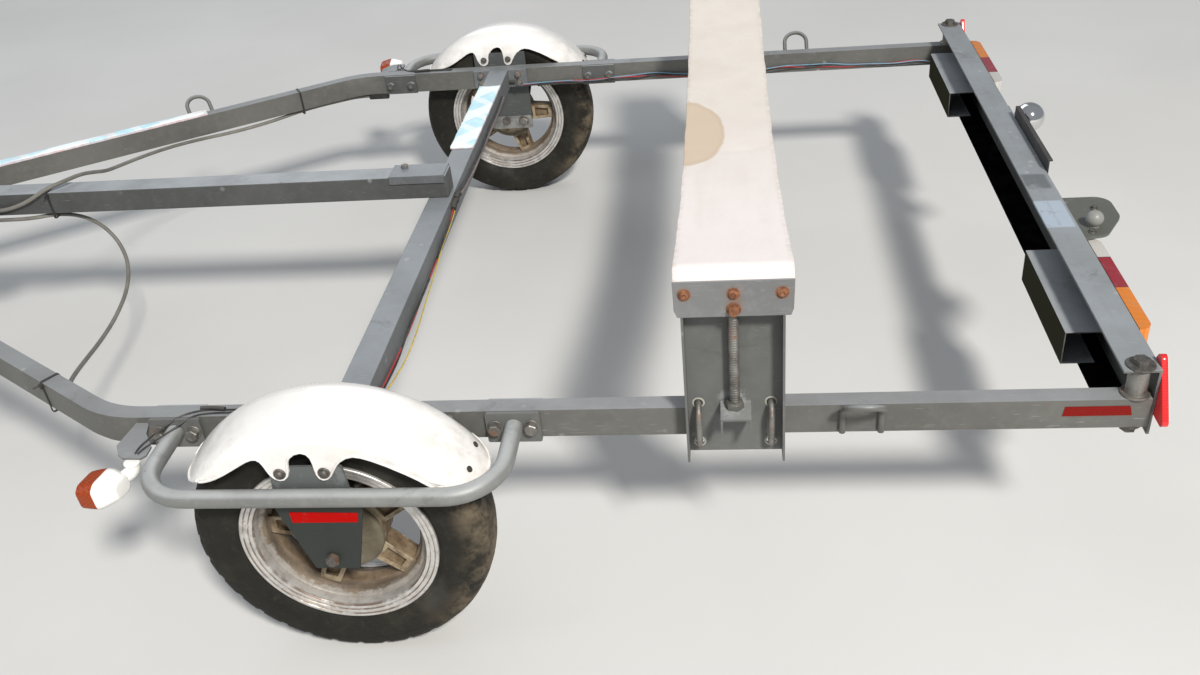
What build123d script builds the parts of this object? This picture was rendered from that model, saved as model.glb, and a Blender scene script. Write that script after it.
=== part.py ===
from build123d import *
import os
from math import sin, cos, tan, radians, degrees, atan2, sqrt, pi

# A light single-axle boat trailer with motor-scooter wheels, a webbing sling
# between two height-adjustable posts, and a removable rear light beam.
# Millimetres. +X is forward (towards the coupler), +Y the trailer's left,
# +Z up.  Everything is laid out about the axle line on the ground and moved
# at the end by SHIFT_X so that the origin is the middle of the footprint.

# ---------------------------------------------------------------- dimensions
WHEEL_Y = 787.0            # wheel mid-plane from the centre line
TYRE_R, TYRE_W = 217.0, 102.0
RIM_FLANGE_R, RIM_HALF = 143.5, 43.0
SEAT_R = 127.0             # bead seat of the rim
AXLE_Z = 217.0
AXLE_R = 7.5

RAIL_OUT = 719.5           # outer face of the side rails
RAIL_W, RAIL_H, RAIL_T = 28.0, 46.0, 2.3
RAIL_TOP = 361.5
RAIL_BOT = RAIL_TOP - RAIL_H
RAIL_MID_Z = RAIL_TOP - RAIL_H / 2
RAIL_MID_Y = RAIL_OUT - RAIL_W / 2
RAIL_IN = RAIL_OUT - RAIL_W
RAIL_REAR = -1106.0
BEND_X, BEND_R, BEND_DEG = 357.6, 165.0, 33.2

CROSS_X0, CROSS_X1 = -26.0, 21.0
FLANGE_T = 4.5

DRAW_W, DRAW_H, DRAW_T = 50.0, 46.5, 2.6
DRAW_Z0 = RAIL_TOP
DRAW_Z1 = DRAW_Z0 + DRAW_H
DRAW_REAR, DRAW_FRONT = -20.0, 2120.0

BEAM_X0, BEAM_X1 = -1111.0, -1062.5
BEAM_Z0, BEAM_Z1, BEAM_T = 302.0, 406.4, 4.0
BEAM_HALF = 718.0
BEAM_BOLT_X = -1087.0

POST_X0, POST_X1 = -627.0, -494.0
POST_T = 3.2
POST_OUT = 749.0
POST_Z0, POST_FLANGE_Z1, POST_WEB_Z1 = 289.0, 525.4, 562.0
POST_MID_X = (POST_X0 + POST_X1) / 2
HEAD_MID_X = -562.0        # sling heads, end plates and belt
U_X = (-511.0, -609.5)
U_Z = (305.0, 372.0)
U_R = 4.5

BELT_T, BELT_W = 4.0, 154.0
NOSE_Y, NOSE_Z, NOSE_R = 724.0, 568.0, 18.0
BELT_SLOPE = 14.4

GUARD_R, GUARD_Y, GUARD_Z = 12.7, 873.9, 339.0
GUARD_X, GUARD_BEND = 251.0, 75.0
PLATE_OUT_Y0, PLATE_OUT_Y1 = 857.5, 861.5

FENDER_CX, FENDER_CZ, FENDER_R = -4.9, 195.5, 249.0
FENDER_OUT, FENDER_IN, FENDER_YC, FENDER_T = 864.0, 724.05, 777.4, 2.4
FENDER_SO, FENDER_SI = 225.0, 206.0          # radii where the skirts end
FENDER_Y, FENDER_HALF = (FENDER_OUT + FENDER_IN) / 2, (FENDER_OUT - FENDER_IN) / 2

COUPLER_X, COUPLER_Z = 2200.0, 372.0
BALL_R = 25.4

JACK_X, JACK_Y = 1740.0, -64.0
JACK_WHEEL_R, JACK_TRAIL = 80.0, 32.0

POSTW_X = 1560.0           # winch post

X_FRONT, X_BACK = 2240.0, -1184.0      # coupler handle's tip, rear tab's end
SHIFT_X = -(X_FRONT + X_BACK) / 2

os.makedirs("parts", exist_ok=True)
NODES = {}


# ------------------------------------------------------------------ helpers
def bx(x0, x1, y0, y1, z0, z1):
    return Pos((x0 + x1) / 2, (y0 + y1) / 2, (z0 + z1) / 2) * Box(abs(x1 - x0), abs(y1 - y0), abs(z1 - z0))


def cyl(p, q, r):
    p, q = Vector(*p), Vector(*q)
    d = q - p
    return extrude(Plane(origin=p, z_dir=d.normalized()) * Circle(r), d.length)


def ring(p, q, r_out, r_in):
    p, q = Vector(*p), Vector(*q)
    d = q - p
    return extrude(Plane(origin=p, z_dir=d.normalized()) * (Circle(r_out) - Circle(r_in)), d.length)


def hexa(p, q, across):
    p, q = Vector(*p), Vector(*q)
    d = q - p
    return extrude(Plane(origin=p, z_dir=d.normalized()) * RegularPolygon(across / 2, 6, major_radius=False), d.length)


def other(shape):
    return shape.mirror(Plane.XZ)


def poly_y(pts, y0, y1):
    # (x, z) outline, extruded from y0 to y1
    pl = Plane(origin=(0, y0, 0), x_dir=(1, 0, 0), z_dir=(0, -1, 0))
    face = make_face(Polyline(*[(x, z) for x, z in pts], close=True))
    return extrude(pl * face, -(y1 - y0))


def poly_z(pts, z0, z1):
    face = make_face(Polyline(*[(x, y) for x, y in pts], close=True))
    return extrude(Plane(origin=(0, 0, z0)) * face, z1 - z0)


def poly_x(pts, x0, x1):
    # (y, z) outline, extruded from x0 to x1
    pl = Plane(origin=(x0, 0, 0), x_dir=(0, 1, 0), z_dir=(1, 0, 0))
    face = make_face(Polyline(*[(y, z) for y, z in pts], close=True))
    return extrude(pl * face, x1 - x0)


def rod(points, r, radius):
    # a bent rod or tube blank along a polyline with filleted corners
    path = FilletPolyline(*points, radius=radius) if radius else Polyline(*points)
    t = (Vector(*points[1]) - Vector(*points[0])).normalized()
    return sweep(Plane(origin=points[0], z_dir=t) * Circle(r), path=path)


def as_solids(shape):
    s = shape.solids()
    return s


def add(name, *shapes):
    solids = []
    for s in shapes:
        solids += list(s.solids())
    NODES[name] = solids


def both(name_l, name_r, *shapes):
    add(name_l, *shapes)
    add(name_r, *[other(s) for s in shapes])


def pair(name, *shapes):
    add(name, *shapes, *[other(s) for s in shapes])


# ------------------------------------------------------------------- chassis
# Side rails: one bent rectangular tube each, straight past the wheel and then
# running in at BEND_DEG to meet under the drawbar, where both are mitred.
a = radians(BEND_DEG)
run = 1350.0
rail_end = (BEND_X + run * cos(a), RAIL_MID_Y - run * sin(a), RAIL_MID_Z)
rail_path = FilletPolyline((RAIL_REAR, RAIL_MID_Y, RAIL_MID_Z), (BEND_X, RAIL_MID_Y, RAIL_MID_Z), rail_end, radius=BEND_R)
rail_sec = Plane(origin=(RAIL_REAR, RAIL_MID_Y, RAIL_MID_Z), x_dir=(0, 1, 0), z_dir=(1, 0, 0)) * (
    Rectangle(RAIL_W, RAIL_H) - Rectangle(RAIL_W - 2 * RAIL_T, RAIL_H - 2 * RAIL_T))
rail = sweep(rail_sec, path=rail_path)
rail = rail & bx(-1300, 1700, 2.0, 800, 200, 500)
rail = rail - cyl((BEAM_BOLT_X, RAIL_MID_Y, 300), (BEAM_BOLT_X, RAIL_MID_Y, 380), 6.5)
RAIL_BLANK = rail

# Crossmember between the rails with a bolting flange at each end.
cross_end = RAIL_IN - FLANGE_T
cross = bx(CROSS_X0, CROSS_X1, -cross_end, cross_end, RAIL_BOT, RAIL_TOP) - bx(
    CROSS_X0 + 2.3, CROSS_X1 - 2.3, -cross_end, cross_end, RAIL_BOT + 2.3, RAIL_TOP - 2.3)
for s in (1, -1):
    cross = cross + bx(-71, 62, s * cross_end, s * RAIL_IN, 317.0, RAIL_TOP)
    cross = cross - cyl((-3, s * 640, 300), (-3, s * 640, 330), 8.0)      # drain holes
add("axle_crossmember", cross)

# Drawbar on top of the crossmember and of the rails' noses.
draw = bx(DRAW_REAR, DRAW_FRONT, -DRAW_W / 2, DRAW_W / 2, DRAW_Z0, DRAW_Z1) - bx(
    DRAW_REAR + 2.6, DRAW_FRONT + 1, -DRAW_W / 2 + DRAW_T, DRAW_W / 2 - DRAW_T, DRAW_Z0 + DRAW_T, DRAW_Z1 - DRAW_T)
add("drawbar", draw)

# Folded saddle over the drawbar's rear end.
saddle = bx(-17, 92, -28.4, 28.4, DRAW_Z1, DRAW_Z1 + 3.0)
for s in (1, -1):
    saddle = saddle + bx(-17, 92, s * (DRAW_W / 2 + 0.4), s * 28.4, DRAW_Z1 - 13, DRAW_Z1)
saddle = saddle + hexa((67, -10, DRAW_Z1 + 3), (67, -10, DRAW_Z1 + 9), 13)
add("drawbar_saddle", saddle)

# Nose joint: a plate under the two rails and two U-bolts over the drawbar.
NOSE_U_X = (1300.0, 1436.0)
nose = poly_z([(1270, -62), (1270, 62), (1330, 62), (1462, 46), (1462, -46), (1330, -62)], RAIL_BOT - 6, RAIL_BOT)
for ux in NOSE_U_X:
    u = rod([(ux, -31, 296), (ux, -31, DRAW_Z1 + 4.3), (ux, 31, DRAW_Z1 + 4.3), (ux, 31, 296)], 4.0, 5.0)
    for s in (1, -1):
        u = u + hexa((ux, s * 31, RAIL_BOT - 6 - 6.5), (ux, s * 31, RAIL_BOT - 6), 13)
    nose = nose + u
add("drawbar_nose_clamp", nose)

# Rear beam: a channel open forwards, its top flange across the rails and its
# bottom flange cut back between them.
beam = bx(BEAM_X0, BEAM_X1, -BEAM_HALF, BEAM_HALF, BEAM_Z1 - BEAM_T, BEAM_Z1)
beam = beam + bx(BEAM_X0, BEAM_X0 + BEAM_T, -BEAM_HALF, BEAM_HALF, BEAM_Z0, BEAM_Z1)
beam = beam + bx(BEAM_X0, BEAM_X1, -(RAIL_IN - 4), RAIL_IN - 4, BEAM_Z0, BEAM_Z0 + BEAM_T)
for s in (1, -1):
    beam = beam - cyl((BEAM_BOLT_X, s * RAIL_MID_Y, 395), (BEAM_BOLT_X, s * RAIL_MID_Y, 412), 6.5)
for y in (-105.0, 105.0):
    beam = beam - cyl((BEAM_X0 - 2, y, 330), (BEAM_X0 + BEAM_T + 2, y, 330), 3.25)
add("rear_beam", beam)

# Bolt stacks that clamp the beam to the rails: head, washers, spacer, nut.
bolts, spacers = [], []
for s in (1, -1):
    yb = s * RAIL_MID_Y
    b = cyl((BEAM_BOLT_X, yb, 300), (BEAM_BOLT_X, yb, BEAM_Z1 + 3), 6.0)
    b = b + cyl((BEAM_BOLT_X, yb, BEAM_Z1), (BEAM_BOLT_X, yb, BEAM_Z1 + 2.5), 18.5)
    b = b + hexa((BEAM_BOLT_X, yb, BEAM_Z1 + 2.5), (BEAM_BOLT_X, yb, BEAM_Z1 + 10.5), 19)
    b = b + cyl((BEAM_BOLT_X, yb, RAIL_BOT - 2.5), (BEAM_BOLT_X, yb, RAIL_BOT), 16.0)
    b = b + hexa((BEAM_BOLT_X, yb, RAIL_BOT - 12.5), (BEAM_BOLT_X, yb, RAIL_BOT - 2.5), 19)
    bolts.append(b)
    sp = ring((BEAM_BOLT_X, yb, RAIL_TOP), (BEAM_BOLT_X, yb, RAIL_TOP + 3), 19.0, 6.5)
    sp = sp + ring((BEAM_BOLT_X, yb, RAIL_TOP + 3), (BEAM_BOLT_X, yb, BEAM_Z1 - BEAM_T), 13.5, 6.5)
    spacers.append(sp)
add("beam_bolts", *bolts)
add("beam_spacers", *spacers)

# Folded covers in front of the lamps: top shelf, front face, bottom lip.
COVER_X, COVER_Z0, COVER_Z1 = -1036.5, 306.0, 361.0

def cover(y0, y1):
    c = bx(BEAM_X0 + BEAM_T, COVER_X, y0, y1, COVER_Z1 - 2, COVER_Z1)
    c = c + bx(COVER_X - 2, COVER_X, y0, y1, COVER_Z0, COVER_Z1)
    return c + bx(-1085, COVER_X, y0, y1, COVER_Z0, COVER_Z0 + 2)

# the right one sits further out than the left one
add("lamp_covers", cover(309.0, 555.0), cover(-640.0, -388.0))

# Tail lamps: clear inboard, red, amber outboard.
LAMP_X0, LAMP_X1, LAMP_Z0, LAMP_Z1 = -1136.0, BEAM_X0, 308.0, 398.0
LAMP_Y0, LAMP_Y1 = 343.0, 608.0
LAMP_R = 18.0
house = bx(LAMP_X1 - 6, LAMP_X1, LAMP_Y0 - 3, LAMP_Y1 + 3, LAMP_Z0 - 3, LAMP_Z1 - 2)
pair("tail_lamp_bodies", fillet(house.edges().filter_by(Axis.X), 8))
lens = bx(LAMP_X0, LAMP_X1 - 6, LAMP_Y0, LAMP_Y1, LAMP_Z0, LAMP_Z1)
lens = fillet(lens.edges().filter_by(Axis.Z).sort_by(Axis.X)[0:2], LAMP_R)
pair("tail_lamp_lenses", lens)

# Number-plate holder with the standard pair of holes, and its chrome lamp.
hold = bx(BEAM_X0 - 3, BEAM_X0, -137, 113, 312, 428)
hold = hold + bx(BEAM_X0 - 8, BEAM_X0, -137, 113, 425, 428)
for y in (-105.0, 105.0):
    hold = hold - cyl((BEAM_X0 - 6, y, 330), (BEAM_X0 + 2, y, 330), 3.25)
add("number_plate_holder", hold)
lamp_c = (-1147.0, -168.5, 390.0)
pl_lamp = Pos(*lamp_c) * Sphere(29)
pl_lamp = pl_lamp + cyl((BEAM_X0 - 2, -168.5, 390), (-1130, -168.5, 390), 8)
pl_lamp = pl_lamp + bx(BEAM_X0 - 3, BEAM_X0, -198, -139, 372, 404)
add("number_plate_lamp", pl_lamp)

# Rear tab with its knob, on the beam's left of centre.
tab = poly_z([(BEAM_X0, 213), (-1184, 213), (-1184, 286), (-1148, 346), (BEAM_X0, 354)], 400.5, 404.5)
for corner, r_ in (((-1184, 213), 26), ((-1184, 286), 34), ((-1148, 346), 24)):
    e = tab.edges().filter_by(Axis.Z).sort_by(lambda q: abs(q.center().X - corner[0]) + abs(q.center().Y - corner[1]))[0]
    tab = fillet(e, r_)
tab = tab + bx(BEAM_X0 - 3, BEAM_X0, 213, 339, 398, 404.5)
tab = tab - cyl((-1134, 316, 396), (-1134, 316, 408), 4.2)
add("rear_tab", tab)
knob = cyl((-1134, 316, 390), (-1134, 316, 412), 4.0) + cyl((-1134, 316, 404.5), (-1134, 316, 408), 9)
knob = knob + Pos(-1134, 316, 418) * Sphere(13.5)
knob = knob + hexa((-1134, 316, 393), (-1134, 316, 400.5), 13)
add("rear_tab_knob", knob)

# Upright triangular rear reflectors near the corners.
tri = [(645, 334), (755, 334), (700, 426)]
ref = poly_x(tri, BEAM_X0 - 8, BEAM_X0)
pair("triangle_reflectors", fillet(ref.edges().filter_by(Axis.X), 8))

# Rope hoops welded on the rails' outer faces, leaning out above them.
def hoop(hx, half, lean_deg):
    r = 4.5
    y0 = RAIL_OUT + r - 0.8      # the foot is welded to the rail's face
    le = radians(lean_deg)
    # foot, knee and tip of each leg, joined by a half round
    k1 = (hx + half, y0, 352)
    k2 = (hx - half, y0, 352)
    ly, lz = cos(le), sin(le)
    t1 = (hx + half, y0 + 54 * ly, 352 + 54 * lz)
    t2 = (hx - half, y0 + 54 * ly, 352 + 54 * lz)
    pts = [(hx + half, y0, 318), k1, t1, t2, k2, (hx - half, y0, 318)]
    path = FilletPolyline(*pts, radius=[13, half - 1.0, half - 1.0, 13])
    return sweep(Plane(origin=pts[0], z_dir=(0, 0, 1)) * Circle(r), path=path)

h_rear = hoop(-731.5, 26.0, 42.0)
h_front = hoop(0.0, 26.0, 42.0)
# the front pair sits on the angled part of each rail
h_front = Pos(0, -RAIL_OUT, 0) * h_front
ang_pt = (BEND_X + 395 * cos(a) + RAIL_W / 2 * sin(a), RAIL_MID_Y - 395 * sin(a) + RAIL_W / 2 * cos(a))
h_front = Pos(ang_pt[0], ang_pt[1], 0) * Rot(0, 0, -BEND_DEG) * h_front
both("left_rail", "right_rail", RAIL_BLANK + h_rear + h_front)

# --------------------------------------------------------------- sling posts
post = bx(POST_X0, POST_X1, RAIL_OUT, RAIL_OUT + POST_T, POST_Z0, POST_WEB_Z1)
for x0, x1 in ((POST_X0, POST_X0 + POST_T), (POST_X1 - POST_T, POST_X1)):
    post = post + bx(x0, x1, RAIL_OUT, POST_OUT, POST_Z0, POST_FLANGE_Z1)
for ux in U_X:
    for uz in U_Z:
        post = post - cyl((ux, RAIL_OUT - 1, uz), (ux, RAIL_OUT + POST_T + 1, uz), 6.0)

# U-bolts round each rail with a clamp plate and nuts on the inner face.
ub = []
clampp = bx(POST_X0, POST_X1, RAIL_IN - 5, RAIL_IN, 293, 384)
for ux in U_X:
    u = rod([(ux, 668, U_Z[1]), (ux, 741, U_Z[1]), (ux, 741, U_Z[0]), (ux, 668, U_Z[0])], U_R, 20.0)
    for uz in U_Z:
        u = u + hexa((ux, RAIL_IN - 5, uz), (ux, RAIL_IN - 11.5, uz), 13)
        clampp = clampp - cyl((ux, RAIL_IN - 6, uz), (ux, RAIL_IN + 1, uz), 4.9)
    ub.append(u)
pair("sling_u_bolts", *ub)

# Height screw: folded rest on the web, rod and nut.
rest = bx(-582, -541, RAIL_OUT + POST_T, 765, 371, 374)
for x0, x1 in ((-582, -579), (-544, -541)):
    rest = rest + bx(x0, x1, RAIL_OUT + POST_T, 765, 350, 374)
rest = rest - cyl((POST_MID_X, 736, 365), (POST_MID_X, 736, 380), 7.8)
post = post + rest
screw = cyl((POST_MID_X, 736, 360), (POST_MID_X, 736, 529.5), 7.4) + hexa((POST_MID_X, 736, 374), (POST_MID_X, 736, 384), 22)
pair("height_screws", screw)

# Sling heads: a rounded saddle for the belt, standing off the web on bosses.
bx0, bx1 = HEAD_MID_X - 74, HEAD_MID_X + 74
nose_r_in = NOSE_R - 3
hp = Plane(origin=(bx0, 0, 0), x_dir=(0, 1, 0), z_dir=(1, 0, 0))
outer_arc = ThreePointArc((NOSE_Y + NOSE_R, NOSE_Z), (NOSE_Y, NOSE_Z + NOSE_R), (NOSE_Y - NOSE_R, NOSE_Z))
inner_arc = ThreePointArc((NOSE_Y - nose_r_in, NOSE_Z), (NOSE_Y, NOSE_Z + nose_r_in), (NOSE_Y + nose_r_in, NOSE_Z))
head_edges = [Line((NOSE_Y + NOSE_R, 530), (NOSE_Y + NOSE_R, NOSE_Z)), outer_arc,
              Line((NOSE_Y - NOSE_R, NOSE_Z), (NOSE_Y - NOSE_R, 548)), Line((NOSE_Y - NOSE_R, 548), (NOSE_Y - nose_r_in, 548)),
              Line((NOSE_Y - nose_r_in, 548), (NOSE_Y - nose_r_in, NOSE_Z)), inner_arc,
              Line((NOSE_Y + nose_r_in, NOSE_Z), (NOSE_Y + nose_r_in, 530)), Line((NOSE_Y + nose_r_in, 530), (NOSE_Y + NOSE_R, 530))]
head = extrude(hp * make_face(Wire(head_edges)), bx1 - bx0)
HEAD_BOLTS = [(-500.0, 560.0), (-562.0, 560.0), (-623.0, 560.0), (-562.0, 537.0)]
for hxx, hz in HEAD_BOLTS[:3]:
    head = head + cyl((hxx, RAIL_OUT + POST_T, hz - 8), (hxx, NOSE_Y + nose_r_in + 1, hz - 8), 7.0)
pair("sling_posts", post + head)

# Clamp plates over the belt's ends, with the lower corners a little drawn in.
cl = poly_y([(-638.5, 578), (-637.5, 536), (-634, 526), (-490, 526), (-486.5, 536), (-485.5, 578)], 746, 749)
pair("sling_end_plates", cl)

# The sling belt: one band from end to end, hanging in a shallow curve.
th = radians(BELT_SLOPE)
r_mid = NOSE_R + BELT_T / 2
p_mid_y = NOSE_Y - r_mid * sin(th)
p_mid_z = NOSE_Z + r_mid * cos(th)
R_BELT = p_mid_y / sin(th)
belt_cz = p_mid_z + R_BELT * cos(th)
BELT_LOW = belt_cz - R_BELT

def belt_pts(off):
    # off: +1 upper/outer face, -1 lower/inner face
    rr = r_mid + off * BELT_T / 2
    rb = R_BELT - off * BELT_T / 2
    e = (NOSE_Y + rr, 536.0)
    f = (NOSE_Y + rr, NOSE_Z)
    m = (NOSE_Y + rr * cos(radians(45)), NOSE_Z + rr * sin(radians(45)))
    g = (NOSE_Y - rr * sin(th), NOSE_Z + rr * cos(th))
    low = (0.0, belt_cz - rb)
    return e, f, m, g, low

e1, f1, m1, g1, l1 = belt_pts(+1)
e2, f2, m2, g2, l2 = belt_pts(-1)
neg = lambda p: (-p[0], p[1])
belt_edges = [Line(e1, f1), ThreePointArc(f1, m1, g1), ThreePointArc(g1, l1, neg(g1)), ThreePointArc(neg(g1), neg(m1), neg(f1)), Line(neg(f1), neg(e1)),
              Line(neg(e1), neg(e2)), Line(neg(e2), neg(f2)), ThreePointArc(neg(f2), neg(m2), neg(g2)), ThreePointArc(neg(g2), l2, g2), ThreePointArc(g2, m2, f2), Line(f2, e2), Line(e2, e1)]
bp = Plane(origin=(HEAD_MID_X - BELT_W / 2 + 0.5, 0, 0), x_dir=(0, 1, 0), z_dir=(1, 0, 0))
belt = extrude(bp * make_face(Wire(belt_edges)), BELT_W - 1)
add("sling_belt", belt)

# ------------------------------------------------------------- wheel guards
gpts = [(GUARD_X, RAIL_OUT + 5.5, GUARD_Z), (GUARD_X, GUARD_Y, GUARD_Z), (-GUARD_X, GUARD_Y, GUARD_Z), (-GUARD_X, RAIL_OUT + 5.5, GUARD_Z)]
gpath = FilletPolyline(*gpts, radius=GUARD_BEND)
guard = sweep(Plane(origin=gpts[0], z_dir=(0, 1, 0)) * (Circle(GUARD_R) - Circle(GUARD_R - 2.3)), path=gpath)
for s in (1, -1):
    pltx = s * 250
    guard = guard + fillet(bx(pltx - 39, pltx + 39, RAIL_OUT, RAIL_OUT + 6, 311, 361).edges().filter_by(Axis.Y), 3)
OUT_PLATE = [(53, 382), (-47, 382), (-50, 343), (-65, 338), (-64, 322), (-35, 199), (28, 199), (66, 324), (67, 338), (56, 343)]
guard = guard + (poly_y(OUT_PLATE, PLATE_OUT_Y0, PLATE_OUT_Y1) - cyl((0, 850, AXLE_Z), (0, 870, AXLE_Z), AXLE_R + 0.4))
pair("wheel_guards", guard)

# Backing plates with nuts on the rails' inner faces.
backs = []
for gx in (250.0, -250.0):
    bk = bx(gx - 39, gx + 39, RAIL_IN - 4.5, RAIL_IN, 314, 360)
    for dx in (-26, 26):
        bk = bk + hexa((gx + dx, RAIL_IN - 4.5, 335), (gx + dx, RAIL_IN - 12, 335), 17)
    backs.append(bk)
pair("rail_backing_plates", clampp, *backs)

# Inner wheel plates on the rails' outer faces, down to the axle.
IN_PLATE = [(63, 394), (-66, 394), (-66, 262), (-64, 205), (-56, 197), (40, 197), (58, 215), (63, 262)]
inp = poly_y(IN_PLATE, RAIL_OUT, RAIL_OUT + 4.5) - cyl((0, 715, AXLE_Z), (0, 730, AXLE_Z), AXLE_R + 0.4)
pair("axle_plates", inp)

# Axle bolts: shaft, nuts outside both plates, collars inside.
HUB_HALF = 46.0
ax = cyl((0, 706, AXLE_Z), (0, 871, AXLE_Z), AXLE_R)
ax = ax + hexa((0, RAIL_OUT - 9, AXLE_Z), (0, RAIL_OUT, AXLE_Z), 19)
ax = ax + hexa((0, PLATE_OUT_Y1, AXLE_Z), (0, PLATE_OUT_Y1 + 7, AXLE_Z), 18)
ax = ax + cyl((0, RAIL_OUT + 4.5, AXLE_Z), (0, WHEEL_Y - HUB_HALF - 0.6, AXLE_Z), 13)
ax = ax + cyl((0, WHEEL_Y + HUB_HALF + 0.6, AXLE_Z), (0, PLATE_OUT_Y0, AXLE_Z), 13)
pair("wheel_axles", ax)

# ------------------------------------------------------------------- fenders
# Section in (y, radius): upright skirts, and a crown of two quarter ellipses
# that drops further down on the inner side.
def fender_section(off):
    bo, so = (FENDER_OUT - off, 100.0), (FENDER_OUT - off, FENDER_SO)
    bi, si = (FENDER_IN + off, 100.0), (FENDER_IN + off, FENDER_SI)
    eo = EllipticalCenterArc((FENDER_YC, FENDER_SO), FENDER_OUT - off - FENDER_YC, FENDER_R - off - FENDER_SO, start_angle=0, arc_size=90)
    ei = EllipticalCenterArc((FENDER_YC, FENDER_SI), FENDER_YC - FENDER_IN - off, FENDER_R - off - FENDER_SI, start_angle=90, arc_size=90)
    return bo, so, eo, ei, si, bi

bo, so, eo, ei, si, bi = fender_section(0)
bo2, so2, eo2, ei2, si2, bi2 = fender_section(FENDER_T)
fe = [Line(bo, so), eo, ei, Line(si, bi), Line(bi, bi2), Line(bi2, si2), ei2, eo2, Line(so2, bo2), Line(bo2, bo)]
# plane through the fender's axis: local x is +Y, local y is the radius
fpl = Plane(origin=(FENDER_CX, 0, FENDER_CZ), x_dir=(0, 1, 0), z_dir=(1, 0, 0))
fface = fpl * make_face(Wire(fe))
f_axis = Axis((FENDER_CX, 0, FENDER_CZ), (0, 1, 0))
fender = revolve(fface, f_axis, 360)
FRONT_A, REAR_A = 38.0, 151.0      # end angles above the horizontal
sector = [(FENDER_CX, FENDER_CZ), (FENDER_CX + 400 * cos(radians(FRONT_A)), FENDER_CZ + 400 * sin(radians(FRONT_A))), (FENDER_CX + 400, 640), (FENDER_CX - 400, 640),
          (FENDER_CX + 400 * cos(radians(REAR_A)), FENDER_CZ + 400 * sin(radians(REAR_A)))]
fender = fender & poly_y(sector, 700, 880)
# lower edge of the skirts: two bolted tabs with a round cut-out between them
# and a long scallop each way
EDGE = [(300, 318), (225, 334), (200, 343), (180, 350), (165, 355), (152, 358.5), (140, 362), (130, 365.5), (118, 371.5), (104, 380), (91, 388), (80, 395), (71, 399), (64, 399), (59, 395), (56, 387),
        (54, 379), (51, 371), (47, 365), (41, 362), (34, 362), (28, 368), (25.5, 377), (25.5, 386), (24, 393), (20, 400), (12, 407), (1, 410), (-7, 407), (-11, 400), (-12, 390), (-12, 380),
        (-12.5, 370), (-14.5, 365), (-19, 361.5), (-25, 362.5), (-31, 368), (-35, 376), (-40, 385), (-47, 393), (-57, 400), (-68, 402), (-77, 400), (-91, 394), (-106, 387), (-121, 378),
        (-136, 369), (-151, 358), (-162, 348), (-180, 333), (-200, 321), (-225, 310), (-300, 300)]
cut = poly_y([(300, 100)] + EDGE + [(-300, 100)], 700, 880)
fender = fender - cut
fender = fender - bx(-300, 300, 700, 727, 100, RAIL_TOP + 2.0)
# rounded ends in plan
for ang_, sgn, round_ in ((FRONT_A, 1, 46), (REAR_A, -1, 68)):
    n = Vector(cos(radians(ang_)), 0, sin(radians(ang_)))
    tdir = Vector(sin(radians(ang_)) * sgn, 0, -cos(radians(ang_)) * sgn)
    o = Vector(FENDER_CX, FENDER_Y, FENDER_CZ) + n * 120.0
    pl = Plane(origin=o, x_dir=tdir, z_dir=n)
    keep = Pos(-150, 0) * RectangleRounded(300, 2 * FENDER_HALF + 0.2, round_)
    big = Pos(-40, 0) * Rectangle(120, 2 * FENDER_HALF + 40)
    fender = fender - extrude(pl * (big - keep), 200)
fender = max(fender.solids(), key=lambda s: s.volume)
pair("fenders", fender)

# ------------------------------------------------------------------ wheels
def rev_y(pts, y_c, x_c, z_c):
    # closed (y, r) outline of lines about an axis along Y
    pl = Plane(origin=(x_c, y_c, z_c), x_dir=(0, 1, 0), z_dir=(1, 0, 0))
    return revolve(pl * make_face(Polyline(*pts, close=True)), Axis((x_c, y_c, z_c), (0, 1, 0)), 360)

hw = TYRE_W / 2
tyre_pts = [(-41, SEAT_R + 0.4), (-43.0, 146), (-48.5, 158), (-hw, 176), (-hw, 186), (-48.5, 198), (-42.5, 207), (-32, 212.8), (-16, 216.1), (0, TYRE_R),
            (16, 216.1), (32, 212.8), (42.5, 207), (48.5, 198), (hw, 186), (hw, 176), (48.5, 158), (43.0, 146), (41, SEAT_R + 0.4)]
tyre = rev_y(tyre_pts, WHEEL_Y, 0, AXLE_Z)
both("left_tyre", "right_tyre", tyre)

# the tyre leaves the flange height free: flange rings sit outside the beads
rim_pts = [(-46.5, RIM_FLANGE_R), (-43.4, RIM_FLANGE_R), (-41.4, SEAT_R), (-20, SEAT_R - 2), (-14, SEAT_R - 12), (14, SEAT_R - 12), (20, SEAT_R - 2), (41.4, SEAT_R), (43.4, RIM_FLANGE_R), (46.5, RIM_FLANGE_R),
           (46.5, RIM_FLANGE_R - 6), (45.0, 130), (43.4, 123.8), (27.0, 121), (24.5, 114.5), (12.5, 111.8), (10, 108), (-10, 108), (-12.5, 111.8), (-24.5, 114.5), (-27.0, 121), (-43.4, 123.8), (-45.0, 130), (-46.5, RIM_FLANGE_R - 6)]
rim = rev_y(rim_pts, WHEEL_Y, 0, AXLE_Z)
hub_pts = [(-HUB_HALF, AXLE_R + 0.05), (-HUB_HALF, 20), (-32, 24), (-30, 56), (-26, 60), (24, 60), (28, 56), (30, 26), (HUB_HALF, 20), (HUB_HALF, AXLE_R + 0.05)]
rim = rim + rev_y(hub_pts, WHEEL_Y, 0, AXLE_Z)
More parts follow.
